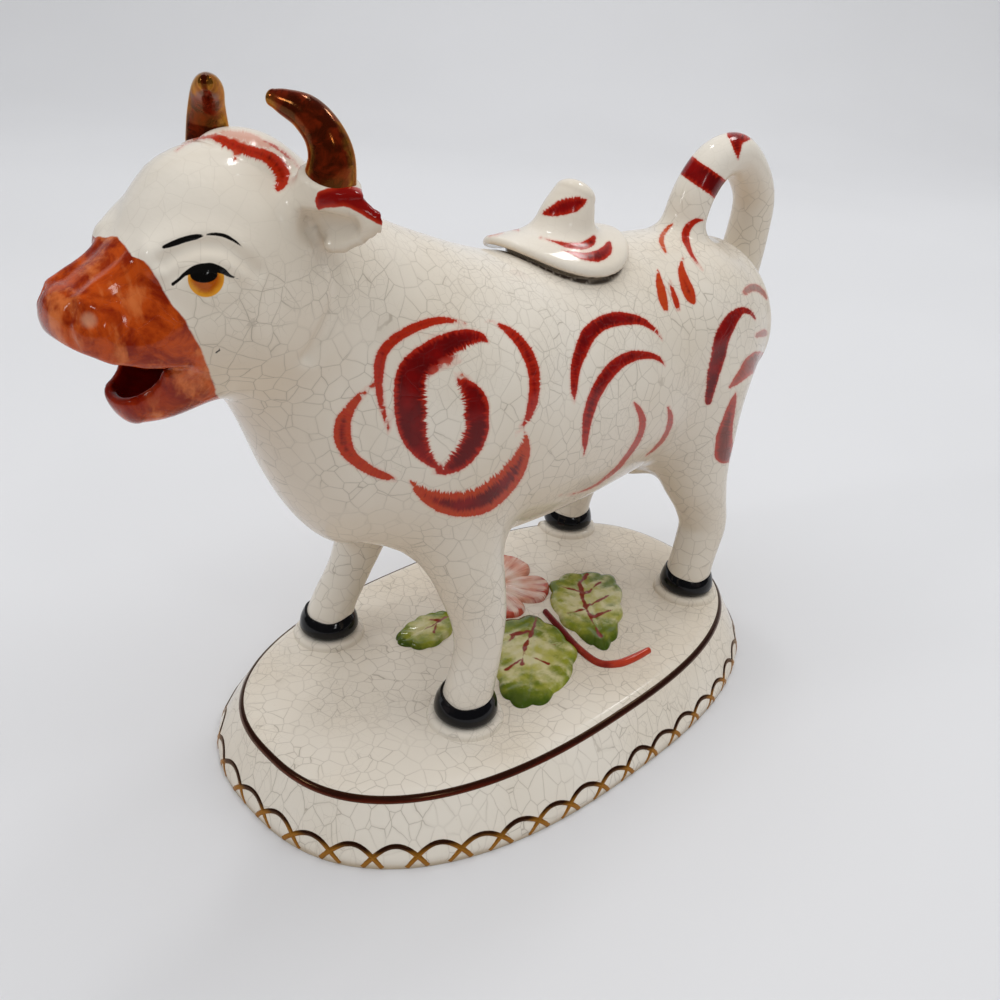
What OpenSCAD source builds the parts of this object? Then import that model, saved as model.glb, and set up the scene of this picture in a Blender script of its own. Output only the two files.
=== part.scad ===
// Lidded cream jug in the shape of a standing cow on an oval plinth.
// The cow faces -X and +Z is up. The origin is on the table, halfway between the nose and
// the back of the tail, so the plinth's centre stands a little behind it.
// The jug is filled through the hole in the back and pours from the open mouth.

/* [Plinth] */
// Length of the plinth at the table
plinth_len = 140; // [120:1:180]
// Width of the plinth at the table
plinth_w = 87; // [78:1:110]
// Height of the plinth's flat top above the table
plinth_h = 13; // [9:0.5:20]
// How far the top edge stands in from the foot at each end
end_inset = 5.5; // [3:0.25:8]
// How far the top edge stands in from the foot at each side
side_inset = 7.5; // [4:0.25:10]
// Clay thickness of the hollow plinth
plinth_wall = 4; // [3:0.25:5.5]
// Height of the upright foot under the sloping band
foot_h = 2; // [1:0.25:4]

/* [Barrel] */
// Length of the barrel from chest to rump
torso_len = 132; // [120:1:150]
// Widest part of the barrel
torso_w = 50; // [44:1:58]
// Height of the barrel from belly to back
torso_h = 60; // [54:1:70]
// Clear height between the plinth's top and the belly
belly_clear = 34; // [28:1:44]
// How far the cow is luted off the plinth's centre line
cow_side_shift = 4; // [0:0.5:6]
// Thickness of the cast wall
wall = 4; // [3:0.25:4.5]

/* [Neck and head] */
// Length of the head from the back of the skull to the nose
head_len = 40; // [36:1:48]
// Widest part of the skull
head_w = 32; // [28:1:38]
// Deepest part of the skull
head_h = 31; // [28:1:36]
// How far the nose points below level, in degrees
head_drop = 30; // [22:1:36]
// How far the skull's centre stands ahead of the chest
head_reach = 10; // [7:0.5:15]
// Height of the skull's centre above the plinth's top
head_rise = 98; // [92:1:108]
// Width of the neck
neck_w = 32; // [28:1:38]
// Depth of the neck
neck_d = 37; // [33:1:44]
// Length of the lower jaw
jaw_len = 20; // [17:0.5:24]
// Width of the lower jaw
jaw_w = 18; // [16:0.5:21]
// Width of the pouring mouth
mouth_w = 10; // [8:0.25:11.5]
// Height of the pouring mouth
mouth_h = 6; // [5:0.25:7.5]

/* [Horns and ears] */
// Height a horn rises over its root
horn_h = 9.5; // [7:0.5:14]
// Thickness of a horn at its root
horn_d = 9; // [7:0.5:11]
// Distance between the roots of the two horns
horn_gap = 31; // [27:1:36]
// Length of an ear
ear_len = 15; // [12:0.5:20]
// Width of an ear across its cup
ear_w = 12; // [9:0.5:15]

/* [Legs] */
// Thickness of a foreleg below the knee
fore_d = 9.5; // [7.5:0.5:13]
// Thickness of a hind leg below the hock
hind_d = 11; // [8:0.5:14]
// Distance across the cow between the hooves of a pair
stance_w = 42; // [36:1:50]
// How far the right foreleg stands ahead of the left one
fore_step = 5; // [0:0.5:8]
// Height of a hoof
hoof_h = 6.5; // [5:0.25:9]
// Width of a hoof where it stands
hoof_d = 13.5; // [11:0.5:16]
// Height of the clay pad that seats a hoof
pad_h = 1.2; // [0.8:0.1:2.5]

/* [Tail handle] */
// Height of the tail loop above the rump
tail_rise = 26; // [20:1:36]
// Length of the tail loop along the cow
tail_run = 31; // [27:1:38]
// Thickness of the tail at its root
tail_d = 12; // [9:0.5:14]

/* [Lid] */
// Length of the lid along the back
lid_len = 37; // [34:1:44]
// Width of the lid across the back
lid_w = 31; // [28:1:36]
// Thickness of the lid's plate
lid_t = 3; // [2:0.25:4]
// Glaze gap under the lid's plate
lid_gap = 0.3; // [0.2:0.05:0.6]
// Length of the filling hole
hole_len = 26; // [22:1:30]
// Width of the filling hole
hole_w = 21; // [18:1:24]
// Loose fit all round between the lid's ring and the filling hole
ring_clear = 0.8; // [0.5:0.1:1.5]
// Thickness of the lid's ring
ring_t = 2.5; // [2:0.25:3.5]
// Depth of the lid's ring below the back
ring_depth = 7; // [5:0.5:10]
// Height of the knob above the back
knob_h = 12.5; // [10:0.5:18]
// Thickness of the knob at its foot
knob_d = 14; // [11:0.5:17]

/* [Sprig] */
// Length of the widest leaf
leaf_len = 32; // [26:1:36]
// Height of the moulded sprig above the plinth's top
sprig_h = 1.5; // [1:0.1:2.5]
// Distance from the flower's centre to its petals' tips
petal_len = 15; // [11:0.5:17]

/* [Hidden] */

trunk_sides = 32;
leg_sides = 20;
sprig_sides = 12;
plinth_sides = 72;
oval_power = 2.5;
past = 1.5;

belly_z = plinth_h + belly_clear;
back_z = belly_z + torso_h * 0.94;
plinth_x = 0.016 * plinth_len;
chest_x = -0.43 * torso_len;
rump_x = chest_x + 1.035 * torso_len;
skull_x = chest_x - head_reach;
skull_z = plinth_h + head_rise;
lid_x = chest_x + 0.51 * torso_len;
hoof_top = plinth_h + pad_h + hoof_h;
reach = 2 * plinth_len;

cream = [0.93, 0.89, 0.82];
black = [0.08, 0.08, 0.08];
copper = [0.55, 0.28, 0.12];
green = [0.45, 0.55, 0.25];
red = [0.72, 0.28, 0.20];

// Barrel, chest to rump: share along, height of centre, half width share, half height share
barrel_shares = [
    [0.055, 0.400, 0.58, 0.290], [0.145, 0.440, 0.84, 0.425], [0.270, 0.455, 1.00, 0.480],
    [0.430, 0.435, 1.00, 0.485], [0.600, 0.445, 0.96, 0.475], [0.750, 0.470, 0.92, 0.450],
    [0.870, 0.495, 0.86, 0.405], [0.955, 0.530, 0.72, 0.320]];
// Neck, shoulder to skull: share of the way, half width share, half depth share
neck_shares = [[0.00, 0.66, 0.66], [0.30, 0.58, 0.63], [0.56, 0.52, 0.55], [0.80, 0.48, 0.46], [1.00, 0.44, 0.40]];
shoulder_share = [0.215, 0.545];
// Skull to nose: share of head length, share of head depth above the axis, half width share, half depth share
skull_shares = [
    [-0.27, 0.10, 0.64, 0.64], [-0.12, 0.03, 0.92, 0.94], [0.08, -0.08, 1.00, 1.00],
    [0.28, -0.02, 0.88, 0.84], [0.45, 0.07, 0.72, 0.62], [0.57, 0.13, 0.66, 0.46]];
// Lower jaw: share of jaw length, drop share of head depth, half width share, half depth share of jaw width
jaw_shares = [[0.25, 0.34, 0.90, 0.78], [0.60, 0.35, 0.94, 0.72], [0.90, 0.33, 0.90, 0.58], [1.12, 0.30, 0.80, 0.44]];
// Mouth channel: share of head length ahead of the skull, drop below it as a share of head depth
mouth_shares = [[-0.28, 0.47], [0.15, 0.49], [0.40, 0.50], [0.90, 0.50]];
// Foreleg, hoof to shoulder: share of the clear height, share of the way in to the barrel, thickness share
fore_shares = [
    [0.15, 0.00, 1.18, -0.012], [0.27, 0.00, 1.06, -0.004], [0.38, 0.01, 0.98, 0.006], [0.52, 0.03, 0.96, 0.010],
    [0.72, 0.07, 1.12, 0.010], [0.95, 0.15, 1.40, 0.006], [1.22, 0.28, 1.75, 0.000], [1.60, 0.46, 1.95, 0.000]];
hind_shares = [
    [0.15, 0.00, 1.18, 0.000], [0.27, 0.00, 1.08, 0.006], [0.40, 0.01, 1.02, 0.016], [0.56, 0.03, 1.08, 0.026],
    [0.74, 0.08, 1.20, 0.016], [0.96, 0.17, 1.55, 0.000], [1.22, 0.30, 2.05, -0.006], [1.60, 0.46, 2.30, 0.000]];
// Where the legs stand, as shares of the barrel's length
fore_stand = 0.215;
hind_stand = 0.802;
// Horn: share of thickness forward, share of the way in, rise share, thickness share
horn_shares = [
    [0.00, 0.05, -0.35, 1.00], [0.02, -0.10, 0.20, 0.94], [0.06, -0.16, 0.55, 0.84], [0.20, 0.00, 0.88, 0.66],
    [0.42, 0.34, 0.92, 0.36]];
// Ear: share of its length outward, thickness share of its width, width share
ear_shares = [[-0.30, 0.44, 0.40], [0.02, 0.44, 0.52], [0.32, 0.40, 0.84], [0.62, 0.30, 0.80], [0.86, 0.18, 0.40]];
// Tail: share of its run ahead of the rump, share of its rise, thickness share
tail_shares = [
    [0.10, -0.75, 1.10], [0.00, -0.42, 1.02], [-0.06, -0.04, 0.98], [-0.05, 0.30, 0.94], [0.09, 0.58, 0.92],
    [0.32, 0.78, 0.90], [0.58, 0.71, 0.88], [0.76, 0.46, 0.88], [0.85, 0.14, 0.90], [0.90, -0.20, 0.94]];
udder_shares = [[-0.02, 0.20, 0.60, 0.9], [0.01, 0.10, 0.88, 1.0], [0.03, 0.00, 0.70, 0.9]];
// Plinth, table to top edge: share of the inset, share of the height
plinth_shares = [
    [0.00, 0.00], [0.00, 0.15], [0.16, 0.32], [0.42, 0.56], [0.68, 0.78], [0.84, 0.91], [1.00, 0.975], [1.12, 1.00]];
// Leaf, stalk to tip: share along, half width share
leaf_shares = [
    [0.02, 0.16], [0.10, 0.56], [0.18, 0.50], [0.27, 0.88], [0.35, 0.80], [0.45, 1.00], [0.53, 0.90],
    [0.63, 0.96], [0.71, 0.80], [0.80, 0.76], [0.87, 0.50], [0.94, 0.30]];
petal_shares = [[0.18, 0.20], [0.40, 0.46], [0.65, 0.62], [0.86, 0.50]];
petals = 5;

// Smooth curves through stations [x, y, z, half size across, half size along the section]
function pick(list, i) = list[max(0, min(len(list) - 1, i))];
function between(a, b, c, d, t) =
    0.5 * (2 * b + (c - a) * t + (2 * a - 5 * b + 4 * c - d) * t * t + (3 * b - a - 3 * c + d) * t * t * t);
function smooth(list, steps) = [
    for (i = [0 : len(list) - 2], s = [0 : steps - 1])
        between(pick(list, i - 1), list[i], list[i + 1], pick(list, i + 2), s / steps),
    list[len(list) - 1]];
function place(s) = [s[0], s[1], s[2]];
function unit(v) = v / norm(v);
function heading(list, i) = unit(place(pick(list, i + 1)) - place(pick(list, i - 1)));
function ring(centre, u, v, a, b, n) =
    [for (k = [0 : n - 1]) centre + u * a * cos(360 * k / n) + v * b * sin(360 * k / n)];
function station_ring(s, way, side, grow, n, shift = 0, size = 1) =
    let (u = unit(side - way * (side * way)), v = cross(way, u))
    ring(place(s) + way * shift, u, v, (s[3] + grow) * size, (s[4] + grow) * size, n);

// Closed skin over rings of n points, with a point at each end
module skin(rings, first, last, n) {
    m = len(rings);
    faces = concat(
        [for (i = [0 : m - 2], k = [0 : n - 1]) [(i + 1) * n + (k + 1) % n, i * n + (k + 1) % n, i * n + k]],
        [for (i = [0 : m - 2], k = [0 : n - 1]) [(i + 1) * n + k, (i + 1) * n + (k + 1) % n, i * n + k]],
        [for (k = [0 : n - 1]) [k, (k + 1) % n, m * n]],
        [for (k = [0 : n - 1]) [(m - 1) * n + (k + 1) % n, (m - 1) * n + k, m * n + 1]]);
    polyhedron(points = concat([for (r = rings, p = r) p], [first, last]), faces = faces, convexity = 6);
}

// Rounded limb through the stations, thickened by grow
module limb(stations, caps, side = [0, 1, 0], grow = 0, n = leg_sides, steps = 2, cap_steps = 3) {
    list = smooth(stations, steps);
    end = len(list) - 1;
    out = heading(list, 0);
    on = heading(list, end);
    near = max(caps[0] + grow, caps[0] / 4);
    far = max(caps[1] + grow, caps[1] / 4);
    rings = concat(
        [for (j = [cap_steps - 1 : -1 : 1])
            station_ring(list[0], out, side, grow, n, -near * sin(90 * j / cap_steps), cos(90 * j / cap_steps))],
        [for (i = [0 : end]) station_ring(list[i], heading(list, i), side, grow, n)],
        [for (j = [1 : cap_steps - 1])
            station_ring(list[end], on, side, grow, n, far * sin(90 * j / cap_steps), cos(90 * j / cap_steps))]);
    skin(rings, place(list[0]) - out * near, place(list[end]) + on * far, n);
}

// Hands the sculpted shape on as one skin
module one_skin() { resize([0, 0, 0]) union() children(); }
module set_down() { translate([plinth_x, 0, 0]) children(); }
module on_cow() { set_down() translate([0, cow_side_shift, 0]) children(); }

module barrel(grow = 0) {
    limb([for (s = barrel_shares)
            [chest_x + s[0] * torso_len, 0, belly_z + s[1] * torso_h, s[2] * torso_w / 2, s[3] * torso_h]],
        [0.055 * torso_len, 0.065 * torso_len], grow = grow, n = trunk_sides);
}
module neck(grow = 0) {
    foot = [chest_x + shoulder_share[0] * torso_len, 0, belly_z + shoulder_share[1] * torso_h];
    top = [skull_x, 0, skull_z];
    limb([for (s = neck_shares) let (p = foot + (top - foot) * s[0])
            [p[0], 0, p[2], s[1] * neck_w, s[2] * neck_d]],
        [neck_d / 4, neck_d / 6], grow = grow, n = trunk_sides);
}
module in_head() { translate([skull_x, 0, skull_z]) rotate([0, -head_drop, 0]) children(); }
module skull(grow = 0) {
    in_head() limb([for (s = skull_shares)
            [-s[0] * head_len, 0, s[1] * head_h, s[2] * head_w / 2, s[3] * head_h / 2]],
        [0.16 * head_len, 0.09 * head_len], grow = grow, n = trunk_sides);
}
module jaw(grow = 0) {
    in_head() limb([for (s = jaw_shares)
            [-s[0] * jaw_len, 0, -s[1] * head_h, s[2] * jaw_w / 2, s[3] * jaw_w / 2]],
        [0.1 * jaw_len, 0.14 * jaw_len], grow = grow);
}
module mouth() {
    limb([for (s = mouth_shares)
            [skull_x - s[0] * head_len, 0, skull_z - s[1] * head_h, mouth_w / 2, mouth_h / 2]],
        [mouth_h / 2, mouth_h / 2], n = sprig_sides * 2);
}
module cow_outside(grow = 0) {
    barrel(grow);
    neck(grow);
    skull(grow);
    jaw(grow);
}
module cow_inside() {
    barrel(-wall);
    neck(-wall);
    skull(-wall);
}
module oval_post(length, width, low, high) {
    translate([lid_x, 0, low]) scale([length, width, 1]) cylinder(h = high - low, d = 1, $fn = trunk_sides * 2);
}
module body_shell() {
    color(cream) on_cow() one_skin() difference() {
        union() cow_outside();
        cow_inside();
        mouth();
        oval_post(hole_len, hole_w, back_z - torso_h / 2, back_z + knob_h);
    }
}

function leg_stations(shares, stand, side, step, thick) = [for (s = shares)
    [chest_x + (stand + s[3]) * torso_len - step * max(0, min(1, 1.35 - 1.9 * s[0])),
        side * stance_w / 2 * (1 - s[1]), plinth_h + s[0] * belly_clear,
        thick * s[2] / 2, thick * s[2] / 2]];
module leg(shares, stand, side, step, thick) {
    color(cream) on_cow() one_skin() difference() {
        limb(leg_stations(shares, stand, side, step, thick), [thick, thick / 2]);
        translate([-reach, -reach, hoof_top - reach]) cube([2 * reach, 2 * reach, reach]);
        cow_outside();
    }
}
module hoof(stand, side, step, thick) {
    color(black) on_cow()
        translate([chest_x + stand * torso_len - step, side * stance_w / 2, plinth_h + pad_h])
            cylinder(h = hoof_h, d1 = hoof_d, d2 = thick * 1.24, $fn = leg_sides * 2);
}
module fore_leg_left() { leg(fore_shares, fore_stand, -1, 0, fore_d); }
module fore_leg_right() { leg(fore_shares, fore_stand, 1, fore_step, fore_d); }
module hind_leg_left() { leg(hind_shares, hind_stand, -1, 0, hind_d); }
module hind_leg_right() { leg(hind_shares, hind_stand, 1, 0, hind_d); }
module fore_hoof_left() { hoof(fore_stand, -1, 0, fore_d); }
module fore_hoof_right() { hoof(fore_stand, 1, fore_step, fore_d); }
module hind_hoof_left() { hoof(hind_stand, -1, 0, hind_d); }
module hind_hoof_right() { hoof(hind_stand, 1, 0, hind_d); }

module horn_limb(side) {
    root = [skull_x + 0.26 * head_len, side * horn_gap / 2, skull_z + 0.36 * head_h];
    limb([for (s = horn_shares)
            [root[0] - s[0] * horn_d, root[1] * (1 - s[1]), root[2] + s[2] * horn_h,
                s[3] * horn_d / 2, s[3] * horn_d / 2]],
        [horn_d / 4, horn_d / 6], side = [1, 0, 0]);
}
module horn(side) {
    color(copper) on_cow() one_skin() difference() {
        horn_limb(side);
        cow_outside();
    }
}
module horn_left() { horn(-1); }
module horn_right() { horn(1); }
module ear(side) {
    root = [skull_x + 0.24 * head_len, side * head_w * 0.40, skull_z + 0.22 * head_h];
    color(cream) on_cow() one_skin() difference() {
        limb([for (s = ear_shares)
                [root[0] + s[0] * ear_len * 0.30, root[1] + side * s[0] * ear_len * 0.95,
                    root[2] + s[0] * ear_len * 0.04, s[1] * ear_w / 2, s[2] * ear_w / 2]],
            [ear_w / 8, ear_w / 8], side = [1, 0, 0]);
        cow_outside();
        horn_limb(side);
    }
}
module ear_left() { ear(-1); }
module ear_right() { ear(1); }

module tail_handle() {
    rump_z = belly_z + 0.86 * torso_h;
    color(cream) on_cow() one_skin() difference() {
        limb([for (s = tail_shares)
                [rump_x - s[0] * tail_run, 0, rump_z + s[1] * tail_rise, s[2] * tail_d / 2, s[2] * tail_d / 2]],
            [tail_d / 4, tail_d / 4]);
        cow_outside();
    }
}
module udder() {
    color(cream) on_cow() one_skin() difference() {
        limb([for (s = udder_shares)
                [chest_x + (0.74 + s[0]) * torso_len, 0, belly_z + s[1] * torso_h,
                    s[2] * torso_w / 4, s[3] * torso_h / 7]],
            [torso_h / 12, torso_h / 12]);
        cow_outside();
        for (side = [-1, 1]) limb(leg_stations(hind_shares, hind_stand, side, 0, hind_d), [hind_d, hind_d / 2]);
    }
}

function oval_ring(length, width, z, n) = [for (k = [0 : n - 1])
    let (c = cos(360 * k / n), s = sin(360 * k / n), p = 2 / oval_power)
    [sign(c) * pow(abs(c), p) * length / 2, sign(s) * pow(abs(s), p) * width / 2, z]];
module plinth_skin(inward, low, top) {
    skin([for (s = plinth_shares)
            oval_ring(plinth_len - 2 * inward - 2 * s[0] * end_inset, plinth_w - 2 * inward - 2 * s[0] * side_inset,
                low + s[1] * (top - low), plinth_sides)],
        [0, 0, low], [0, 0, top], plinth_sides);
}
module pad(stand, side, step) {
    translate([chest_x + stand * torso_len - step, side * stance_w / 2 + cow_side_shift, plinth_h - past])
        cylinder(h = pad_h + past, d = hoof_d + pad_h, $fn = leg_sides * 2);
}
module plinth() {
    color(cream) set_down() one_skin() difference() {
        union() {
            plinth_skin(0, 0, plinth_h);
            for (side = [-1, 1]) {
                pad(fore_stand, side, side > 0 ? fore_step : 0);
                pad(hind_stand, side, 0);
            }
        }
        plinth_skin(plinth_wall, -past, plinth_h - plinth_wall);
    }
}

module lid() {
    color(cream) on_cow() one_skin() difference() {
        intersection() {
            barrel(lid_gap + lid_t);
            oval_post(lid_len, lid_w, back_z - torso_h / 4, back_z + knob_h);
        }
        difference() {
            barrel(lid_gap);
            difference() {
                oval_post(hole_len - 2 * ring_clear, hole_w - 2 * ring_clear, back_z - ring_depth, back_z + knob_h);
                oval_post(hole_len - 2 * ring_clear - 2 * ring_t, hole_w - 2 * ring_clear - 2 * ring_t,
                    back_z - 2 * ring_depth, back_z + knob_h);
            }
        }
    }
}
module lid_knob() {
    color(cream) on_cow() one_skin() difference() {
        limb([[lid_x - 0.02 * lid_len, 0, back_z, knob_d * 0.56, knob_d * 0.50],
                [lid_x + 0.01 * lid_len, 0, back_z + 0.35 * knob_h, knob_d * 0.46, knob_d * 0.44],
                [lid_x + 0.06 * lid_len, 0, back_z + 0.68 * knob_h, knob_d * 0.36, knob_d * 0.36]],
            [knob_d / 8, 0.32 * knob_h]);
        barrel(lid_gap + lid_t);
    }
}

module above_plinth() {
    set_down() one_skin() difference() {
        union() children();
        translate([-reach, -reach, plinth_h - reach]) cube([2 * reach, 2 * reach, reach]);
    }
}
module leaf(stalk, turn, length, width) {
    color(green) above_plinth() translate([stalk[0], stalk[1], plinth_h]) rotate([0, 0, turn])
        limb([for (s = leaf_shares) [s[0] * length, 0, 0, s[1] * width / 2, sprig_h * (0.5 + s[1] / 2)]],
            [length / 60, length / 30], n = sprig_sides, steps = 1, cap_steps = 2);
}
module leaf_left() { leaf([-0.09, 0.27] * leaf_len, 172, leaf_len * 0.66, leaf_len * 0.32); }
module leaf_middle() { leaf([0.26, -0.15] * leaf_len, 213, leaf_len * 0.97, leaf_len * 0.54); }
module leaf_right() { leaf([0.80, 0.20] * leaf_len, 251, leaf_len * 0.92, leaf_len * 0.54); }
module flower() {
    color(red) above_plinth() translate([petal_len * 0.68, petal_len * 1.02, plinth_h]) {
        for (k = [0 : petals - 1]) rotate([0, 0, 360 * (k + 0.3) / petals])
            limb([for (s = petal_shares) [s[0] * petal_len, 0, 0, s[1] * petal_len, sprig_h * 0.8]],
                [petal_len / 12, petal_len / 12], n = sprig_sides, cap_steps = 2);
        scale([petal_len * 0.28, petal_len * 0.28, sprig_h * 1.2]) sphere(r = 1, $fn = sprig_sides * 2);
    }
}
stem_shares = [[0.385, -0.06], [0.300, -0.36], [0.215, -0.66], [0.30, -0.82], [0.44, -0.88], [0.60, -0.86]];
module flower_stem() {
    color(red) above_plinth()
        limb([for (s = stem_shares) [s[0] * leaf_len, s[1] * leaf_len, plinth_h, sprig_h * 0.7, sprig_h * 0.7]],
            [sprig_h / 2, sprig_h / 2], side = [0, 0, 1], n = sprig_sides, cap_steps = 2);
}

plinth();
body_shell();
fore_leg_left();
fore_leg_right();
hind_leg_left();
hind_leg_right();
fore_hoof_left();
fore_hoof_right();
hind_hoof_left();
hind_hoof_right();
horn_left();
horn_right();
ear_left();
ear_right();
tail_handle();
udder();
lid();
lid_knob();
flower();
leaf_left();
leaf_middle();
leaf_right();
flower_stem();
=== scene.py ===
"""Looks of a glazed cow creamer: a standing cow on an oval plinth, a tail for a handle, a lid on its back."""

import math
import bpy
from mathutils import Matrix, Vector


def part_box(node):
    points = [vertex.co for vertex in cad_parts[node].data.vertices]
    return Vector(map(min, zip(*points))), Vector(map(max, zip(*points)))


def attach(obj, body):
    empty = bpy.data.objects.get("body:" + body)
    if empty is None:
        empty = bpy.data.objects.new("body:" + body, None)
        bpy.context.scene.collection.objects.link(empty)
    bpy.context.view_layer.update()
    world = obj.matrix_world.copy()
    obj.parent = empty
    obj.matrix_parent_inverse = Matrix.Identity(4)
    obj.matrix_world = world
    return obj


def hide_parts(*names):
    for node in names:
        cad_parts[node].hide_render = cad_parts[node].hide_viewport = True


bl_info = {
    "name": "Cow Creamer",
    "version": (1, 0, 0),
    "blender": (4, 5, 0),
    "location": "View3D > Sidebar > Cow Creamer",
    "description": "Builds a glazed cow creamer with brushed flowers, lustre horns and a lift-off lid",
    "category": "Add Mesh",
}

import bpy
import numpy as np
from mathutils import Matrix

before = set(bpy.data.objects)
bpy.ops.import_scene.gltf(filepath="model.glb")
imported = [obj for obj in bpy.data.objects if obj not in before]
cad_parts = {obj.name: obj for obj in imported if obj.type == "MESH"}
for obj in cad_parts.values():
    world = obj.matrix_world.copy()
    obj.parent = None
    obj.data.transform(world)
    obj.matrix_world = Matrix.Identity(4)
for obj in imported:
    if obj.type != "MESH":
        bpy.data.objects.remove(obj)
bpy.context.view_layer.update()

# Lengths are in mm. The cow's clay is laid in its own frame, which PLACE moves into the part's frame
MM = 0.001
FAR = 40.0
NO_MARK = -9.0  # mm inside a mark's edge, for a point that is nowhere near it
MIDLINE = 4.0  # where the cow's mid-plane crosses the plinth
PLINTH_X = 2.24  # the middle of the plinth along its length
PLACE = np.array([PLINTH_X, MIDLINE, 0.0])
PLINTH_TOP = 13.0
CHEST_X, BELLY_Z, TRUNK_LONG, TRUNK_WIDE, TRUNK_TALL = -56.76, 47.0, 132.0, 50.0, 60.0
SKULL = np.array([-66.76, 0.0, 111.0])
HEAD_LONG, HEAD_WIDE, HEAD_TALL = 40.0, 32.0, 31.0
NOD = math.radians(30)
NECK_WIDE, NECK_DEEP = 32.0, 37.0  # half-sizes, of which the neck's stations take shares
NECK_FOOT, RUMP_AT, UDDER_AT = (0.215, 0.545), (1.035, 0.86), 0.74  # places on the trunk, as shares of it
HALF_STANCE, LEG_LONG = 21.0, 34.0
FORE_AT, HIND_AT = 0.215, 0.802  # where the legs stand, as shares of the trunk's length
FORE_THICK, HIND_THICK = 9.5, 11.0
FORE_STEP = 5.0  # the right foreleg stands ahead of the left one
TAIL_LONG, TAIL_TALL, TAIL_RADIUS = 31.0, 26.0, 6.0
GAPE_WIDE = 11.0  # half-width of the gap between the lips
LID_X = CHEST_X + 0.51 * TRUNK_LONG
LID_LONG, LID_WIDE, LID_AHEAD = 16.3, 13.9, 0.75  # half-lengths of the lid's oval, and how far ahead it sits
HOLE_LONG, HOLE_WIDE = 13.0, 10.5  # half-lengths of the filling hole
HOOVES = [f"{end}_hoof_{side}" for end in ("fore", "hind") for side in ("left", "right")]


# Forms in clay


def curve_through(stations, steps):
    """A smooth run of stations through the ones given."""
    s = np.asarray(stations, float)
    out = []
    for i in range(len(s) - 1):
        a, b, c, d = s[max(i - 1, 0)], s[i], s[i + 1], s[min(i + 2, len(s) - 1)]
        square = 2 * a - 5 * b + 4 * c - d
        cube = 3 * b - a - 3 * c + d
        for k in range(steps):
            t = k / steps
            out.append(0.5 * (2 * b + (c - a) * t + square * t * t + cube * t ** 3))
    return np.array(out + [s[-1]])


def run_length(points):
    """How far along a run of points each one lies."""
    return np.concatenate([[0], np.cumsum(np.linalg.norm(np.diff(points, axis=0), axis=1))])


def circle(count):
    return np.linspace(0, 2 * math.pi, count, endpoint=False)


def round_ring(x, y, radius, z, turn):
    """Points on a level circle. z is one height, or one for each point."""
    z = np.broadcast_to(z, turn.shape)
    return np.stack([x + radius * np.cos(turn), y + radius * np.sin(turn), z], 1)


def unit(v):
    return v / np.maximum(np.linalg.norm(v, axis=-1, keepdims=True), 1e-12)


def oval_distance(k0, k1, small):
    return np.where(k1 > 1e-9, k0 * (k0 - 1) / np.maximum(k1, 1e-9), -small)


def limb_distance(points, stations, caps, side=(0, 1, 0), steps=6):
    """How far points are outside a limb through stations, each a place, a half-width and a half-height."""
    s = curve_through(stations, steps).astype(np.float32)
    centre, wide, tall = s[:, :3], s[:, 3], s[:, 4]
    run = unit(np.gradient(centre, axis=0))
    best = np.full(len(points), 1e12, np.float32)
    where = np.zeros(len(points), np.float32)
    for j in range(len(centre) - 1):
        d = centre[j + 1] - centre[j]
        q = points - centre[j]
        t = np.clip((q @ d) / (d @ d), 0, 1)
        e = q - t[:, None] * d
        gap = np.einsum("ij,ij->i", e, e)
        near = gap < best
        best[near] = gap[near]
        where[near] = j + t[near]
    j = np.minimum(where.astype(int), len(centre) - 2)
    f = (where - j)[:, None]
    ahead = unit(run[j] * (1 - f) + run[j + 1] * f)
    r = points - (centre[j] * (1 - f) + centre[j + 1] * f)
    f = f[:, 0]
    a = wide[j] * (1 - f) + wide[j + 1] * f
    b = tall[j] * (1 - f) + tall[j + 1] * f
    side = np.array(side, np.float32)
    across = unit(side - ahead * (ahead @ side)[:, None])
    over = np.cross(ahead, across)
    u, v, w = (np.einsum("ij,ij->i", r, k) for k in (across, over, ahead))
    cap = np.where(where <= 0, caps[0], caps[1]).astype(np.float32)
    w = np.where((where <= 0) | (where >= len(centre) - 1), w, 0)
    k0 = np.sqrt((u / a) ** 2 + (v / b) ** 2 + (w / cap) ** 2)
    k1 = np.sqrt((u / a ** 2) ** 2 + (v / b ** 2) ** 2 + (w / cap ** 2) ** 2)
    return oval_distance(k0, k1, np.minimum(a, b))


def join(a, b, blend):
    h = np.maximum(blend - np.abs(a - b), 0) / blend
    return np.minimum(a, b) - h * h * blend * 0.25


def trim(a, b, blend):
    return -join(-a, -b, blend)


class Clay:
    """Clay laid up from limbs that run softly into each other, then hollowed and cut."""

    def __init__(self, wall):
        self.wall = wall
        self.limbs = {"core": [], "added": [], "cut": []}

    def lay(self, job, stations, caps, blend, side=(0, 1, 0), steps=6):
        stations = np.array(stations, float)
        s = curve_through(stations, 3)
        reach = s[:, 3:].max(1)[:, None] + max(9, blend) + max(caps)
        low, high = (s[:, :3] - reach).min(0), (s[:, :3] + reach).max(0)
        self.limbs[job].append((low, high, stations, caps, blend, side, steps))

    def both(self, job, stations, caps, blend, side=(0, 1, 0), thick=()):
        """The same limb on the cow's two sides. thick gives one half-width and half-height for all of it."""
        for hand in (1, -1):
            self.lay(job, [[s[0], hand * s[1], *s[2:], *thick] for s in stations], caps, blend, side)

    def _work(self, job, points, depth):
        for low, high, stations, caps, blend, side, steps in self.limbs[job]:
            near = ((points > low) & (points < high)).all(1)
            if near.any():
                d = limb_distance(points[near], stations, caps, side, steps)
                depth[near] = trim(depth[near], -d, blend) if job == "cut" else join(depth[near], d, blend)
        return depth

    def mass(self, points):
        core = self._work("core", points, np.full(len(points), FAR, np.float32))
        return core, self._work("added", points, core.copy())

    def depth(self, points):
        """How far points are outside the clay."""
        core, body = self.mass(points)
        return self._work("cut", points, trim(body, -(core + self.wall), 1.0))


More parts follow.
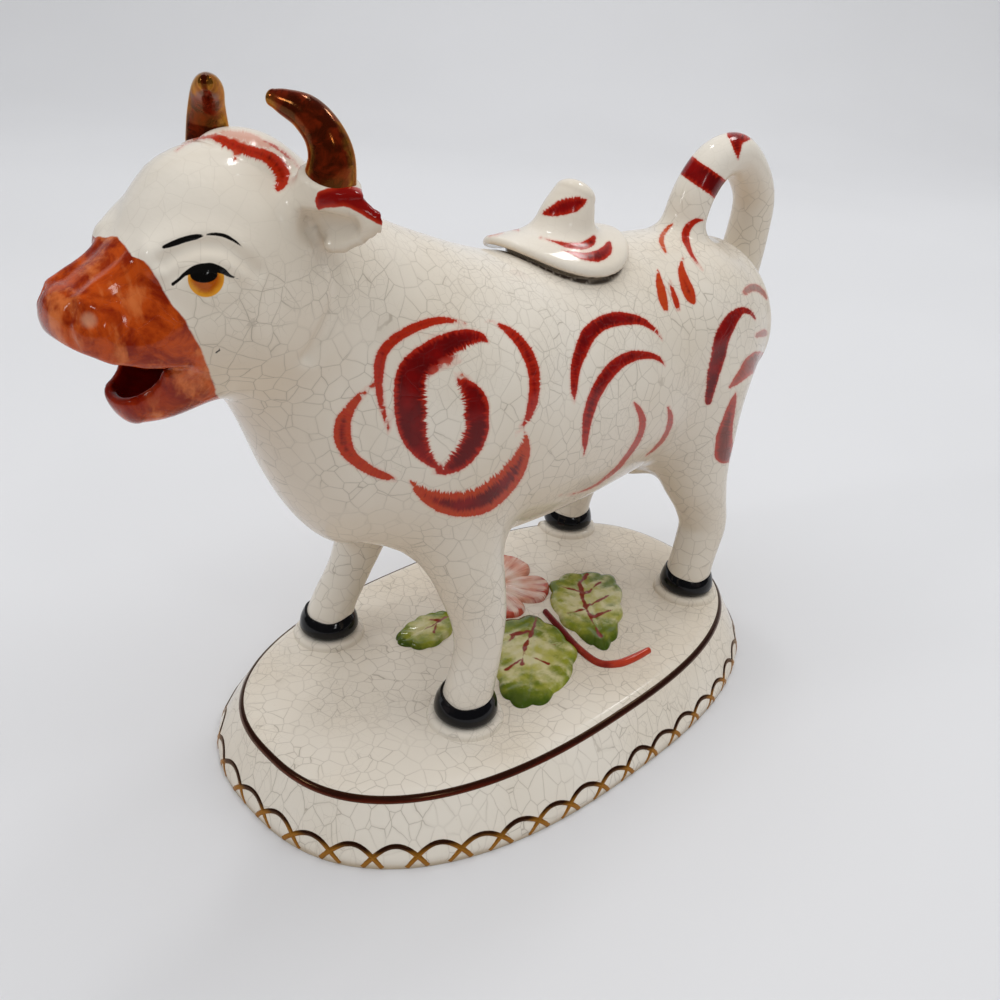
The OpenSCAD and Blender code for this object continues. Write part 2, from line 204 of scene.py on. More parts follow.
def soften(grid):
    for axis in range(3):
        ahead, behind = np.roll(grid, -1, axis), np.roll(grid, 1, axis)
        grid = 0.5 * grid + 0.25 * (ahead + behind)
    return grid


def skin_of(grid):
    """The skin of a grid of depths: a point in each cell it crosses, a quad round each edge it cuts."""
    inside = grid < 0
    n = np.array(grid.shape)
    total = sum(inside[i:n[0] - 1 + i, j:n[1] - 1 + j, k:n[2] - 1 + k].astype(np.int8)
                for i in (0, 1) for j in (0, 1) for k in (0, 1))
    cell = (total > 0) & (total < 8)
    number = np.full(cell.shape, -1, np.int64)
    at = np.argwhere(cell)
    number[cell] = np.arange(len(at))
    place, count = np.zeros((len(at), 3)), np.zeros(len(at))
    quads = []
    for axis in range(3):
        o1, o2 = (axis + 1) % 3, (axis + 2) % 3
        for i in (0, 1):
            for j in (0, 1):
                p = np.zeros(3, int)
                p[o1], p[o2] = i, j
                q = p.copy()
                q[axis] = 1
                a, b = (grid[tuple((at + k).T)] for k in (p, q))
                cut = (a < 0) != (b < 0)
                spot = np.tile(p.astype(float), (cut.sum(), 1))
                spot[:, axis] = a[cut] / (a[cut] - b[cut])
                place[cut] += spot
                count[cut] += 1
        first, second = [slice(None)] * 3, [slice(None)] * 3
        first[axis], second[axis] = slice(0, n[axis] - 1), slice(1, n[axis])
        e = np.argwhere(inside[tuple(first)] != inside[tuple(second)])
        e = e[(e[:, o1] > 0) & (e[:, o2] > 0) & (e[:, o1] < n[o1] - 1) & (e[:, o2] < n[o2] - 1)]
        ring = []
        for d1, d2 in ((1, 1), (0, 1), (0, 0), (1, 0)):
            k = e.copy()
            k[:, o1] -= d1
            k[:, o2] -= d2
            ring.append(number[tuple(k.T)])
        q = np.stack(ring, 1)
        out = ~inside[tuple(first)][tuple(e.T)]
        q[out] = q[out][:, ::-1]
        quads.append(q)
    return at + place / count[:, None], np.concatenate(quads)


def settle(points, depth, rounds, h=0.25, most=0.6):
    """Moves points on to the skin along the slope of its depth."""
    for _ in range(rounds):
        d = depth(points)
        rises = [depth(points + h * e) - depth(points - h * e) for e in np.eye(3, dtype=np.float32)]
        slope = np.stack(rises, 1) / (2 * h)
        move = d[:, None] * slope / np.maximum((slope * slope).sum(1), 0.05)[:, None]
        points = points - np.clip(move, -most, most)
    return points


def mould(depth, low, high, step):
    """Casts the skin of a form between two corners, with a point about every step."""
    low = np.array(low, float)
    n = np.ceil((np.array(high) - low) / step).astype(int) + 1
    axes = [(low[k] + step * np.arange(n[k])).astype(np.float32) for k in range(3)]
    points = np.stack(np.meshgrid(*axes, indexing="ij"), -1).reshape(-1, 3)
    verts, quads = skin_of(soften(depth(points).reshape(n)))
    return settle((low + verts * step).astype(np.float32), depth, 1), quads


def split_quads(verts, quads, chosen):
    """Cuts each chosen quad in four. A neighbour takes the new middle points in, as a many-sided face."""
    n = len(verts)
    nxt = np.roll(quads, -1, 1)
    keys = np.minimum(quads, nxt) * n + np.maximum(quads, nxt)
    cut = np.unique(keys[chosen])
    middles = (verts[cut // n] + verts[cut % n]) / 2
    spot = np.clip(np.searchsorted(cut, keys), 0, len(cut) - 1)
    mid = np.where(cut[spot] == keys, n + spot, -1)
    centres = verts[quads[chosen]].mean(1)
    hub = n + len(cut) + np.arange(len(centres))
    q, m = quads[chosen], mid[chosen]
    faces = []
    for k in range(4):
        faces += np.stack([q[:, k], m[:, k], hub, m[:, k - 1]], 1).tolist()
    for face, halves in zip(quads[~chosen].tolist(), mid[~chosen].tolist()):
        faces.append([v for pair in zip(face, halves) for v in pair if v >= 0])
    return np.concatenate([verts, middles, centres]), faces


# Mesh helpers


def new_object(name, data):
    obj = bpy.data.objects.new(name, data)
    bpy.context.collection.objects.link(obj)
    return obj


def new_mesh(name, verts, faces):
    mesh = bpy.data.meshes.new(name)
    faces = faces if isinstance(faces, list) else faces.tolist()
    mesh.from_pydata(np.asarray(verts, float).tolist(), [], faces)
    return mesh


def dress(obj, body, nodes):
    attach(obj, body)
    if nodes:
        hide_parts(*nodes)
    return obj


def piece(name, verts, faces, material, nodes, fields=(), body="jug"):
    """Makes a piece from points in the part's frame, on a body, and hides the nodes that it stands for."""
    mesh = new_mesh(name, np.asarray(verts, float) * MM, faces)
    mesh.validate()
    for title, values in dict(fields).items():
        values = np.asarray(values, np.float32)
        kind, key = ("FLOAT", "value") if values.ndim == 1 else ("FLOAT_VECTOR", "vector")
        mesh.attributes.new(title, kind, "POINT").data.foreach_set(key, values.ravel())
    mesh.shade_smooth()
    mesh.materials.append(material)
    return dress(new_object(name, mesh), body, nodes)


def normals_of(verts, faces):
    """Outward directions at the points of a mesh."""
    mesh = new_mesh("scratch", verts, faces)
    out = np.empty(len(verts) * 3, np.float32)
    mesh.vertex_normals.foreach_get("vector", out)
    bpy.data.meshes.remove(mesh)
    return out.reshape(-1, 3)


def sheath(rings):
    """Faces round a stack of rings of equal count, with a fan at each end, all looking outward."""
    rings = np.array(rings)
    count, sides = rings.shape[:2]
    k = np.arange(sides)
    faces = []
    for r in range(count - 1):
        a, b = r * sides + k, r * sides + (k + 1) % sides
        faces += np.stack([a, b, b + sides, a + sides], 1).tolist()
    verts = np.concatenate([rings.reshape(-1, 3), [rings[0].mean(0), rings[-1].mean(0)]])
    low, high = len(verts) - 2, len(verts) - 1
    top = (count - 1) * sides
    faces += [[low, (j + 1) % sides, j] for j in range(sides)]
    faces += [[high, top + j, top + (j + 1) % sides] for j in range(sides)]
    corners = np.array([(face[0], *pair) for face in faces for pair in zip(face[1:-1], face[2:])])
    a, b, c = verts[corners].transpose(1, 0, 2)
    inward = (a * np.cross(b, c)).sum() < 0
    if inward:
        faces = [face[::-1] for face in faces]
    return verts, faces


def gather(meshes):
    """Several meshes as one."""
    verts, faces = [], []
    start = 0
    for more, round_faces in meshes:
        verts.append(more)
        faces += [[v + start for v in face] for face in round_faces]
        start += len(more)
    return np.concatenate(verts), faces


def limb_mesh(stations, caps, side, sides, steps, cap_rings):
    """A limb with rounded ends as a mesh, and how far along it each point is."""
    s = curve_through(stations, steps)
    run = unit(np.gradient(s[:, :3], axis=0))
    side = np.array(side, float)
    turn = circle(sides)
    gone = run_length(s[:, :3])
    rings, along = [], []

    def ring(k, scale, shift):
        across = unit(side - run[k] * (run[k] @ side))
        over = np.cross(run[k], across)
        flat = s[k, 3] * np.cos(turn)[:, None] * across + s[k, 4] * np.sin(turn)[:, None] * over
        rings.append(s[k, :3] + run[k] * shift + scale * flat)
        along.append(gone[k] + shift)

    bend = [math.pi / 2 * (i + 0.35) / (cap_rings + 0.35) for i in range(cap_rings)]
    for b in bend:
        ring(0, math.sin(b), -caps[0] * math.cos(b))
    for k in range(len(s)):
        ring(k, 1.0, 0.0)
    for b in reversed(bend):
        ring(len(s) - 1, math.sin(b), caps[1] * math.cos(b))
    return *sheath(rings), np.concatenate([np.repeat(along, sides), [along[0], along[-1]]])


# Shader writing


def tint(red, green, blue):
    """A colour as it is read off a paint chart, 0 to 255, in the form that a shader takes."""
    parts = [c / 255 for c in (red, green, blue)]
    return tuple(c / 12.92 if c <= 0.04045 else ((c + 0.055) / 1.055) ** 2.4 for c in parts) + (1.0,)


def opaque(colour):
    return tuple(colour) + (1,)


class Wire:
    """An output in a node tree. Sums on it add Math nodes, and add() puts in any other node."""

    def __init__(self, tree, socket=None):
        self.tree, self.socket = tree, socket

    def add(self, kind, sockets=None, out=0, **settings):
        node = self.tree.nodes.new(kind)
        for key, value in settings.items():
            setattr(node, key, value)
        feed(self.tree, node, sockets or {})
        return Wire(self.tree, node.outputs[out]) if len(node.outputs) else node

    def out(self, name):
        return Wire(self.tree, self.socket.node.outputs[name])

    def math(self, what, *others):
        return self.add("ShaderNodeMath", dict(enumerate((self, *others))), operation=what)

    def rise(self, low, high):
        """From 0 at low to 1 at high, softly."""
        ends = {"Value": self, "From Min": low, "From Max": high}
        return self.add("ShaderNodeMapRange", ends, interpolation_type="SMOOTHSTEP")

    def mix(self, one, other):
        """Colour one where self is 0 and the other where it is 1."""
        return self.add("ShaderNodeMix", {0: self, 6: one, 7: other}, out=2, data_type="RGBA")

    def along(self, what, other):
        return self.add("ShaderNodeVectorMath", {0: self, 1: other}, operation=what)

    def noise(self, scale, detail=2.0, rough=0.5, twist=0.0, out="Fac"):
        ways = {"Scale": scale, "Detail": detail, "Roughness": rough, "Distortion": twist}
        return self.add("ShaderNodeTexNoise", {"Vector": self, **ways}, out=out)

    def cells(self, scale):
        """Distance to the edge of the nearest cell."""
        sockets = {"Vector": self, "Scale": scale}
        return self.add("ShaderNodeTexVoronoi", sockets, out="Distance", feature="DISTANCE_TO_EDGE")

    def parts(self):
        split = self.add("ShaderNodeSeparateXYZ", {0: self})
        return split, split.out("Y"), split.out("Z")

    def vector(self, x, y, z):
        return self.add("ShaderNodeCombineXYZ", {0: x, 1: y, 2: z})

    def attribute(self, name, out="Fac"):
        return self.add("ShaderNodeAttribute", out=out, attribute_name=name)


def feed(tree, node, sockets):
    for key, value in sockets.items():
        if isinstance(value, Wire):
            tree.links.new(value.socket, node.inputs[key])
        else:
            node.inputs[key].default_value = value


def sum_on_wires(what, swapped):
    def method(wire, other):
        pair = (other, wire) if swapped else (wire, other)
        return wire.add("ShaderNodeMath", dict(enumerate(pair)), operation=what)
    return method


SUMS = {"add": "ADD", "sub": "SUBTRACT", "mul": "MULTIPLY", "truediv": "DIVIDE", "pow": "POWER"}
for short, long_name in SUMS.items():
    setattr(Wire, f"__{short}__", sum_on_wires(long_name, False))
    setattr(Wire, f"__r{short}__", sum_on_wires(long_name, True))


def finish_named(name, paint):
    """A material whose shader takes what paint(place) gives, where place is the object's own place."""
    material = bpy.data.materials.new(name)
    material.use_nodes = True
    tree = material.node_tree
    place = Wire(tree).add("ShaderNodeTexCoord", out="Object")
    feed(tree, tree.nodes["Principled BSDF"], paint(place))
    return material


def glossy(colour, rough, height, distance=1.0, strength=0.6, shine=0.5, **more):
    """The sockets of a glassy coat: its colour, how rough it is, and its swells from a height in mm."""
    swell = {"Height": height, "Distance": distance * MM, "Strength": strength}
    coat = {"Base Color": colour, "Roughness": rough, "IOR": 1.5, "Specular IOR Level": shine}
    return coat | {"Normal": height.add("ShaderNodeBump", swell, out="Normal")} | more


CREAM_SHINE = 0.28


def crackle(place, cell, drawn=(1, 1, 1)):
    """Fine cracks in a glaze, 1 on a crack: straight-edged plates, cut up by finer cracks in patches."""
    wander = place.noise(130.0, 3.0, out="Color").along("SUBTRACT", (0.5, 0.5, 0.5))
    bent = place.along("MULTIPLY", drawn).along("ADD", wander.along("MULTIPLY", (0.0016,) * 3))
    big = bent.cells(1000 / cell)
    fine = bent.along("ADD", (0.013, 0.031, 0.007)).cells(1000 / (cell * 0.55))
    patch = place.noise(60.0, 2.0).rise(0.44, 0.62)
    faded = place.noise(85.0, 3.0).rise(0.30, 0.60)
    thin = 1 - big.rise(0.003, 0.019)
    hair = (1 - fine.rise(0.003, 0.024)) * patch
    halo = (1 - big.rise(0.0, 0.09)) * 0.16
    return (thin * (0.25 + 0.75 * faded)).math("MAXIMUM", hair * 0.55).math("MAXIMUM", halo)


def cream_glaze(place, looks, drawn=(1, 1, 1), crack=1.0):
    """The cream glaze's colour, with painted shade that makes it darker and warmer where it faces down, and
    its cracks.
    """
    cracks = crackle(place, looks.crackle_cell / MM, drawn) * crack
    cloud = place.noise(28.0, 3.0).rise(0.35, 0.70)
    body = cloud.mix(opaque(looks.glaze), opaque(looks.glaze_shade))
    # Painted shade: the glaze is mixed towards a darker, warmer cream where its surface faces down
    under = (place.add("ShaderNodeNewGeometry", out="Normal").parts()[2] * -1).rise(-0.55, 0.9) * 0.55
    body = under.mix(body, opaque(looks.glaze_painted_under_shade))
    speck = place.noise(900.0, 2.0).rise(0.72, 0.80) * 0.10
    body = speck.mix(body, tint(150, 128, 100))
    return (cracks * looks.crackle_depth).mix(body, opaque(looks.crackle_tone)), cracks


def brushed(place, body, looks):
    """Brush strokes over a glaze, and how much of it they cover.

    The attribute stroke holds mm along, mm across and mm inside the edge. The attribute brush holds how
    orange, how bristly and how thick the paint is.
    """
    along, across, inside = place.attribute("stroke", "Vector").parts()
    orange, bristly, thick = place.attribute("brush", "Vector").parts()
    ragged = place.vector(along * 3.0, across * 0.12, 0.0).noise(1.0, 3.0, 0.7)
    bristly = bristly.math("ABSOLUTE") * (0.10 + 0.90 * (across * bristly * 9.0).rise(-0.5, 1.5))
    wobble = place.noise(500.0, 3.0)
    edge = inside + (ragged - 0.55) * (bristly * 5.0 + 0.5) + (wobble - 0.5) * 0.35
    cover = edge.rise(-0.05, 0.13) * thick
    streak = place.vector(along * 1.6, across * 0.08, 3.0).noise(1.0, 4.0, 0.6)
    depth = (edge * 0.85 + (streak - 0.5) * 2.2 - orange * 1.1).rise(0.0, 0.9)
    blot = place.noise(160.0, 3.0).rise(0.35, 0.65)
    deep = blot.mix(opaque(looks.deep_red), opaque(looks.dark_red))
    dry = (orange * 0.8 + (streak - 0.45)).rise(0.1, 0.9)
    paint = depth.mix(dry.mix(opaque(looks.edge_red), opaque(looks.orange)), deep)
    blush = (edge.rise(-0.42, 0.02) * 0.30).mix(body, tint(214, 120, 100))
    return cover.mix(blush, paint), cover


# The cow jug

# The trunk's stations, as shares of its sizes: along, up, wide, tall
BARREL = ((.055, .400, .58, .290), (.145, .440, .84, .425), (.270, .455, 1, .480), (.430, .435, 1, .485),
    (.600, .445, .96, .475), (.750, .470, .92, .450), (.870, .495, .87, .410), (.955, .530, .74, .330))
# The neck's stations, as shares: from the trunk to the skull, wide, tall
NECK = ((0, .66, .66), (.30, .58, .63), (.56, .52, .55), (.80, .48, .46), (1, .44, .40))
BROW_CAP = 10.8  # how far the brow bulges past the cranium's last station
# The head's stations, as shares of its sizes: ahead of the skull, up, wide, tall
CRANIUM = ((-.27, .10, .64, .64), (-.12, .03, .92, .94), (.03, -.10, 1.00, 1.04), (.13, -.19, 1.00, 1.05))
MUZZLE = ((.10, -.04, .56, .56), (.28, -.12, .50, .54), (.45, .05, .46, .52), (.57, .16, .51, .28))
LIPS = ((.20, -.12, .80, .60), (.33, -.08, .74, .50), (.45, -.03, .70, .40), (.545, .045, .60, .32))
# The jaw, and the hollow behind the lower lip: x, z, half-width, half-height
JAW = ((-69.5, 96.5, 8.2, 7.2), (-74.5, 94.0, 8.2, 6.8), (-79.0, 92.0, 6.8, 5.8), (-82.9, 90.9, 4.9, 4.6))
SCOOP = ((-82.4, 92.8, 3.4, 2.4), (-79.5, 94.0, 5.0, 3.4), (-75.5, 96.0, 5.2, 3.4))
# The gap between the lips: x, z, half-height
GAPE = ((-78.3, 97.1, .5), (-80.0, 96.9, 1.35), (-81.5, 96.3, 2.5), (-83.5, 95.6, 3.6), (-86.0, 95.4, 4.6),
    (-92.0, 94.8, 6.4))
# The way from the mouth into the head, as shares of the head's size: ahead of the skull, down
MOUTH = ((-.28, .47), (.15, .49), (.40, .50), (.90, .50))
MOUTH_WIDE, MOUTH_TALL = 5.0, 3.2  # half-width and half-height of that way
# The legs' stations, as shares: up, how far in, how thick, how far back
FORE_LEG = ((.15, 0, 1.12, .002), (.27, 0, 1.05, .009), (.38, .01, 1.03, .017), (.52, .03, 1.06, .023),
    (.72, .07, 1.24, .023), (.95, .15, 1.50, .014), (1.22, .28, 1.82, .004), (1.60, .46, 1.98, 0))
HIND_LEG = ((.15, 0, 1.04, 0), (.27, 0, 1.00, .006), (.40, .01, 1.02, .016), (.56, .03, 1.08, .026),
    (.74, .08, 1.20, .016), (.96, .17, 1.55, 0), (1.22, .30, 2.05, -.006), (1.60, .46, 2.30, 0))
# The tail's loop, as shares: ahead of the rump, up, how thick
TAIL = ((.10, -.75, 1.06), (0, -.42, .96), (-.07, -.04, .88), (-.07, .29, .85), (.08, .54, .83),
    (.32, .715, .82), (.58, .66, .82), (.77, .44, .82), (.865, .14, .85), (.92, -.20, .90))
# The udder's stations: shares of the trunk along and up, then how wide and tall
UDDER = ((-.02, .20, .60, .9), (.01, .10, .88, 1), (.03, 0, .70, .9))
# An ear and a horn: x, out from the mid-plane, z, and the half-width and half-height or the radius
EAR = ((-62.4, 9.0, 116.8, 3.0, 3.0), (-60.6, 12.9, 117.2, 2.9, 3.6), (-58.8, 16.6, 117.5, 2.6, 4.6),
    (-56.6, 20.2, 117.8, 1.9, 4.1), (-53.8, 23.1, 118.0, 1.1, 1.5))
HORN = ((-57.3, 16.2, 120.6, 3.6), (-57.4, 16.7, 122.4, 3.7), (-57.3, 17.0, 126.0, 3.25),
    (-57.8, 15.8, 129.0, 2.8), (-58.8, 13.4, 131.2, 2.45), (-60.4, 10.6, 132.3, 1.75),
    (-61.3, 9.2, 132.7, 1.2))


def on_head(ahead, up):
    """A place in the head's own frame, which nods: ahead of the skull, and up over its middle."""
    x = SKULL[0] - ahead * math.cos(NOD) - up * math.sin(NOD)
    return [x, 0.0, SKULL[2] - ahead * math.sin(NOD) + up * math.cos(NOD)]


def on_trunk(x, z, wide, tall):
    """A station of the trunk, from shares of the trunk's sizes."""
    return [CHEST_X + x * TRUNK_LONG, 0, BELLY_Z + z * TRUNK_TALL, wide * TRUNK_WIDE / 2, tall * TRUNK_TALL]


def on_middle(stations, *wide):
    """Stations of the cow's mid-plane, from x, z and sizes."""
    return [[s[0], 0, s[1], *wide, *s[2:]] for s in stations]


def mouth_stations():
    way = [(SKULL[0] - ahead * HEAD_LONG, SKULL[2] - down * HEAD_TALL) for ahead, down in MOUTH]
    return on_middle(way, MOUTH_WIDE, MOUTH_TALL)


def leg_stations(shares, stand, hand, step, thick):
    """A leg that stands at a share of the trunk's length, a step ahead below its knee."""
    stations = []
    for up, inward, wide, lean in shares:
        x = CHEST_X + (stand + lean) * TRUNK_LONG - step * max(0, min(1, 1.35 - 1.9 * up))
        radius = thick * wide / 2
        stations.append([x, hand * HALF_STANCE * (1 - inward), PLINTH_TOP + up * LEG_LONG, radius, radius])
    return stations


def cow_clay(wall):
    clay = Clay(wall)
    foot = np.array([CHEST_X + NECK_FOOT[0] * TRUNK_LONG, 0, BELLY_Z + NECK_FOOT[1] * TRUNK_TALL])
    clay.lay("core", [on_trunk(*s) for s in BARREL], (7.3, 8.6), 6)
    neck = [[*(foot + (SKULL - foot) * s[0]), s[1] * NECK_WIDE, s[2] * NECK_DEEP] for s in NECK]
    clay.lay("core", neck, (9, 6), 12)
    head = ((CRANIUM, (6.4, BROW_CAP), 8, 18), (LIPS, (3, 3.4), 6, 8), (MUZZLE, (3, 3.6), 4, 10))
    for shares, caps, blend, steps in head:
        stations = []
        for ahead, up, wide, tall in shares:
            place = on_head(ahead * HEAD_LONG, up * HEAD_TALL)
            stations.append([*place, wide * HEAD_WIDE / 2, tall * HEAD_TALL / 2])
        clay.lay("core", stations, caps, blend, steps=steps)
    clay.lay("added", on_middle(JAW), (2, 2.6), 3.5)
    for hand in (-1, 1):
        step = FORE_STEP if hand > 0 else 0
        clay.lay("added", leg_stations(FORE_LEG, FORE_AT, hand, step, FORE_THICK), (9.5, 5), 7)
        clay.lay("added", leg_stations(HIND_LEG, HIND_AT, hand, 0, HIND_THICK), (11, 5), 8)
    rump_x, rump_z = CHEST_X + RUMP_AT[0] * TRUNK_LONG, BELLY_Z + RUMP_AT[1] * TRUNK_TALL
    tail = []
    for x, z, thick in TAIL:
        radius = thick * TAIL_RADIUS
        tail.append((rump_x - x * TAIL_LONG, rump_z + z * TAIL_TALL, radius, radius))
    clay.lay("added", on_middle(tail), (3, 3), 4)
    udder = [on_trunk(UDDER_AT + x, z, wide / 2, tall / 7) for x, z, wide, tall in UDDER]
    clay.lay("added", udder, (5, 5), 5)
    clay.both("added", EAR, (1.5, 1.4), 2, side=(1, 0, 0))
    model_face(clay)
    clay.lay("cut", on_middle(GAPE, GAPE_WIDE), (.6, 2), 1.2)
    clay.lay("cut", on_middle(SCOOP), (2, 3), 1.0)
    clay.lay("cut", mouth_stations(), (3, 3), 1.6)
    return clay


def model_face(clay):
    """Lids, nose ridge, nostrils, horn sockets and cupped ears, on both sides of the head."""
    brow = ((-79.2, 7.2, 112.2), (-76.6, 8.6, 113.2), (-74.0, 10.4, 113.4), (-71.0, 12.6, 112.6))
    clay.both("added", brow, (1.5, 1.5), 4, thick=(1.9, 1.9))
    lid = ((-79.2, 9.6, 111.0), (-77.8, 10.5, 112.0), (-76.3, 11.3, 112.6), (-74.9, 12.2, 112.8),
           (-73.5, 13.3, 112.6), (-72.2, 14.4, 112.0), (-70.9, 15.3, 111.3))
    clay.both("added", lid, (1, 1), 1.4, thick=(1.1, 1.1))
    ball = ((-75.9, 11.8, 110.5), (-75.2, 12.2, 110.4))
    clay.both("added", ball, (2.2, 2.2), 1.2, thick=(2.6, 2.2))
    lower = ((-78.4, 11.5, 109.3), (-76.3, 13.2, 107.8), (-73.6, 14.5, 109.0))
    clay.both("added", lower, (.8, .8), 1.8, thick=(.8, .8))
    ridge = ((-76.6, 6.8, 113.3), (-79.2, 5.0, 112.4), (-82.0, 4.7, 110.8), (-84.7, 4.6, 109.2),
             (-86.8, 4.6, 108.2), (-88.8, 5.0, 106.9))
    clay.both("added", ridge, (1.2, 1.2), 1.5, thick=(1.3, 1.3))
    crease = ((-90.8, 5.0, 107.2, .5, .5), (-91.9, 5.3, 104.6, .55, .55), (-91.7, 5.7, 102.2, .45, .45))
    clay.both("cut", crease, (.5, .5), .9)
    nostril = ((-90.8, 8.2, 106.3), (-90.0, 8.6, 106.0))
    clay.both("cut", nostril, (1, 1), 1.2, thick=(1.5, 1.5))
    fold = ((-79.9, 10.2, 112.9), (-77.8, 11.1, 114.2), (-76.2, 12.0, 114.9), (-74.6, 13.1, 115.1),
            (-73.0, 14.6, 114.8), (-71.4, 16.0, 113.6), (-69.8, 16.9, 111.8))
    clay.both("cut", fold, (.6, .6), 1.8, thick=(.55, .55))
    cheek = ((-60.2, 14.8, 117.4), (-58.8, 16.2, 113.8), (-55.6, 16.0, 110.0), (-56.0, 17.0, 105.5),
             (-58.4, 17.0, 101.2), (-60.8, 16.1, 97.3))
    clay.both("cut", cheek, (.6, .6), 2.2, thick=(.9, .9))
    socket = ((-58.6, 10.5, 115.6, 5.4, 5.4), (-57.6, 15.0, 119.2, 5.1, 5.1),
              (-57.35, 16.7, 123.0, 4.45, 4.45))
    clay.both("added", socket, (2, .6), 2.4)
    cup = ((-62.2, 17.4, 116.4, 2.8, 2.8), (-60.0, 19.8, 116.6, 2.5, 2.7), (-57.3, 22.0, 117.2, 1.7, 1.5))
    clay.both("cut", cup, (1.2, 1.0), 1.0, side=(1, 0, 0))


# Strokes as the camera sees them: pixels across and down its picture of 1000 by 1000, and the half-width.
# After each line come how orange the paint is, how bristly its edge (below 0 on the line's left), and how
# thick it lies.
FLOWER_STROKES = (
    (((467, 324, .5), (445, 320, 3.8), (422, 325, 4.9), (401, 335, 5.4), (385, 349, 5.6), (379, 366, 5.8),
      (379, 385, 4.8), (382, 407, 3.5), (387, 425, 2), (389, 434, .4)), .25, .06, 1),
    (((373, 385, 1.6), (361, 395, 3.4), (349, 410, 6), (342.5, 426, 8.8), (343, 441, 9), (351, 456, 6.8),
      (368, 469, 5.6), (384, 476, 4.4), (397, 480, 1.4)), .45, .06, 1),
    (((488.5, 343, .5), (478, 337, 6.6), (461, 339.5, 10.6), (443, 347.5, 13.2), (427, 357.5, 14.4),
      (414, 371, 16), (410, 387, 16.5), (410, 405, 16.5), (411, 422, 15.6), (415, 438, 13),
      (423.5, 453, 8.6), (433.5, 463.5, 4.8), (445, 472, 1.6)), 0, -.42, 1),
    (((461.5, 360.5, .7), (443.5, 366.5, 2.4), (428.5, 375, 2.2), (417, 381.5, .7)), .3, .1, .9),
    (((455, 380.5, 1), (462, 383, 5), (469.5, 390, 9.4), (475.5, 402, 12.8), (476.5, 415, 13),
      (477, 428, 12.2), (473, 441, 12), (464.5, 454.5, 11), (455, 464, 8.6), (443.5, 471, 4.2),
      (432, 472.5, 1)), 0, .5, 1),
    (((451, 372.3, .5), (461, 374.5, 1.8), (471, 377.5, .4)), 1, .05, .8),
    (((497.5, 324, 2.2), (509, 331, 4.4), (520.5, 342.5, 6), (529.5, 357.5, 6.5), (534, 374, 6.2),
      (534.5, 390.5, 5.8), (531.5, 407, 5), (526.5, 420, 3), (519, 430, 1.2), (515, 436.5, .3)),
      .15, -.14, 1),
    (((411, 481.5, 2), (421, 492, 6), (435, 500, 9.5), (451, 504, 12), (467, 504, 13.5), (482, 500, 14),
      (495, 491, 13.5), (507, 480, 12), (517, 466, 10), (523.5, 452, 7), (526, 440, 3.5),
      (524.5, 431, .6)), .55, -.4, 1),
    (((486, 321, .8), (494, 322, .8)), .3, .3, .8),
)
SPRAY_STROKES = (
    (((573.7, 402.5, 1.2), (574, 388, 3.8), (575.5, 369, 5.4), (581.5, 350, 7.2), (589.5, 333, 8.3),
      (603, 323, 7.8), (616, 319, 7.6), (629, 319, 6.2), (641, 321, 4.2), (652.5, 328, 2.6),
      (659, 335, 1.4), (663, 341, .2)), -.05, -.08, 1),
    (((583.7, 456, .5), (585, 443.5, 3), (586.5, 424.5, 4.6), (591, 405.5, 6), (598.5, 388, 6.6),
      (608.5, 373, 7), (620, 362, 6.6), (632, 356.5, 6), (644, 355, 4.4), (654, 356.5, 3.2),
      (661.5, 361, 2.3), (666, 367, .3)), 0, -.06, 1),
    (((634, 403, 1.6), (638.5, 409, 3), (642.3, 419, 3.8), (641.5, 430.5, 3.3), (636.5, 442, 3.2),
      (627.5, 455.5, 2.8), (617.5, 468, 2.6), (605.5, 478, 2), (592.5, 487, 1.3), (578, 492.7, .8),
      (567.5, 495, .4)), .2, .04, .92),
    (((559.5, 495.3, .5), (561.5, 495.1, .5)), .2, .04, .9),
    (((668.4, 407, 1.6), (670.5, 417, 3), (668.7, 427.5, 2.8), (663, 439, 2.3), (654, 449, 1.7),
      (645.3, 456, .7)), .1, .04, .88),
    (((708, 401.5, 3.8), (710.5, 388.5, 5.2), (714, 372, 6.6), (718.5, 355, 7.6), (721.5, 340, 8),
      (727, 327, 7.8), (733.5, 317, 6.4), (742, 310.5, 4), (750, 312.3, 2.7), (755.6, 319.7, .8)),
      -.25, -.12, 1),
    (((729.5, 387.6, 1.2), (737, 380.5, 4), (745, 371.5, 6.4), (752, 364.5, 8.8), (758, 361, 10)),
      .1, .05, .8),
    (((736, 393, 1), (731.5, 407, 4.4), (727, 424, 6.4), (724.3, 439, 8.6), (724, 454, 9.8)),
      .15, .03, .88),
    (((745.5, 292, 3.4), (752, 287.5, 4), (761, 290.5, 3), (767, 299, 1.2)), -.2, .05, .6),
    (((757, 335.5, 2.4), (764, 333, 3.8)), -.2, .05, .6),
    (((657.6, 269, .5), (659.5, 282.5, 3.8), (662.7, 297.5, 4.6), (666, 310, 2.8)), .6, .03, 1),
    (((669.7, 279.7, .4), (673, 292, 2.5), (676.5, 303, 3), (678.5, 309.5, 1.8)), .35, .03, 1),
    (((682.7, 257.5, .6), (681.5, 269.5, 3.6), (685, 282.5, 5.6), (689.5, 294, 6), (693, 302, 3)),
      .5, .03, 1),
)
RUMP_STROKES = (
    (((675, 223, .8), (667.3, 228.6, 2), (661.5, 238, 2.6), (662.7, 245.5, 2.4), (666.4, 254, .8)),
      .75, .05, 1),
    (((703, 219.5, 1.6), (694.3, 221.5, 3), (687, 229, 4), (685.5, 238, 4), (688.7, 248, 2.8),
      (694.3, 259, 1.7), (702.6, 270.5, .6)), .15, .04, 1),
)
TAIL_STROKES = (
    (((680, 160, 11), (690, 168, 11), (700, 175, 11), (709, 181, 11), (720, 189, 11)), 0, .08, 1),
    (((732, 134, 5.5), (741, 138, 5), (750, 138.5, 1.5)), 0, .06, 1),
    (((736.5, 138, 7), (737.2, 148, 4.4), (738, 159.5, .8)), 0, .04, 1),
)
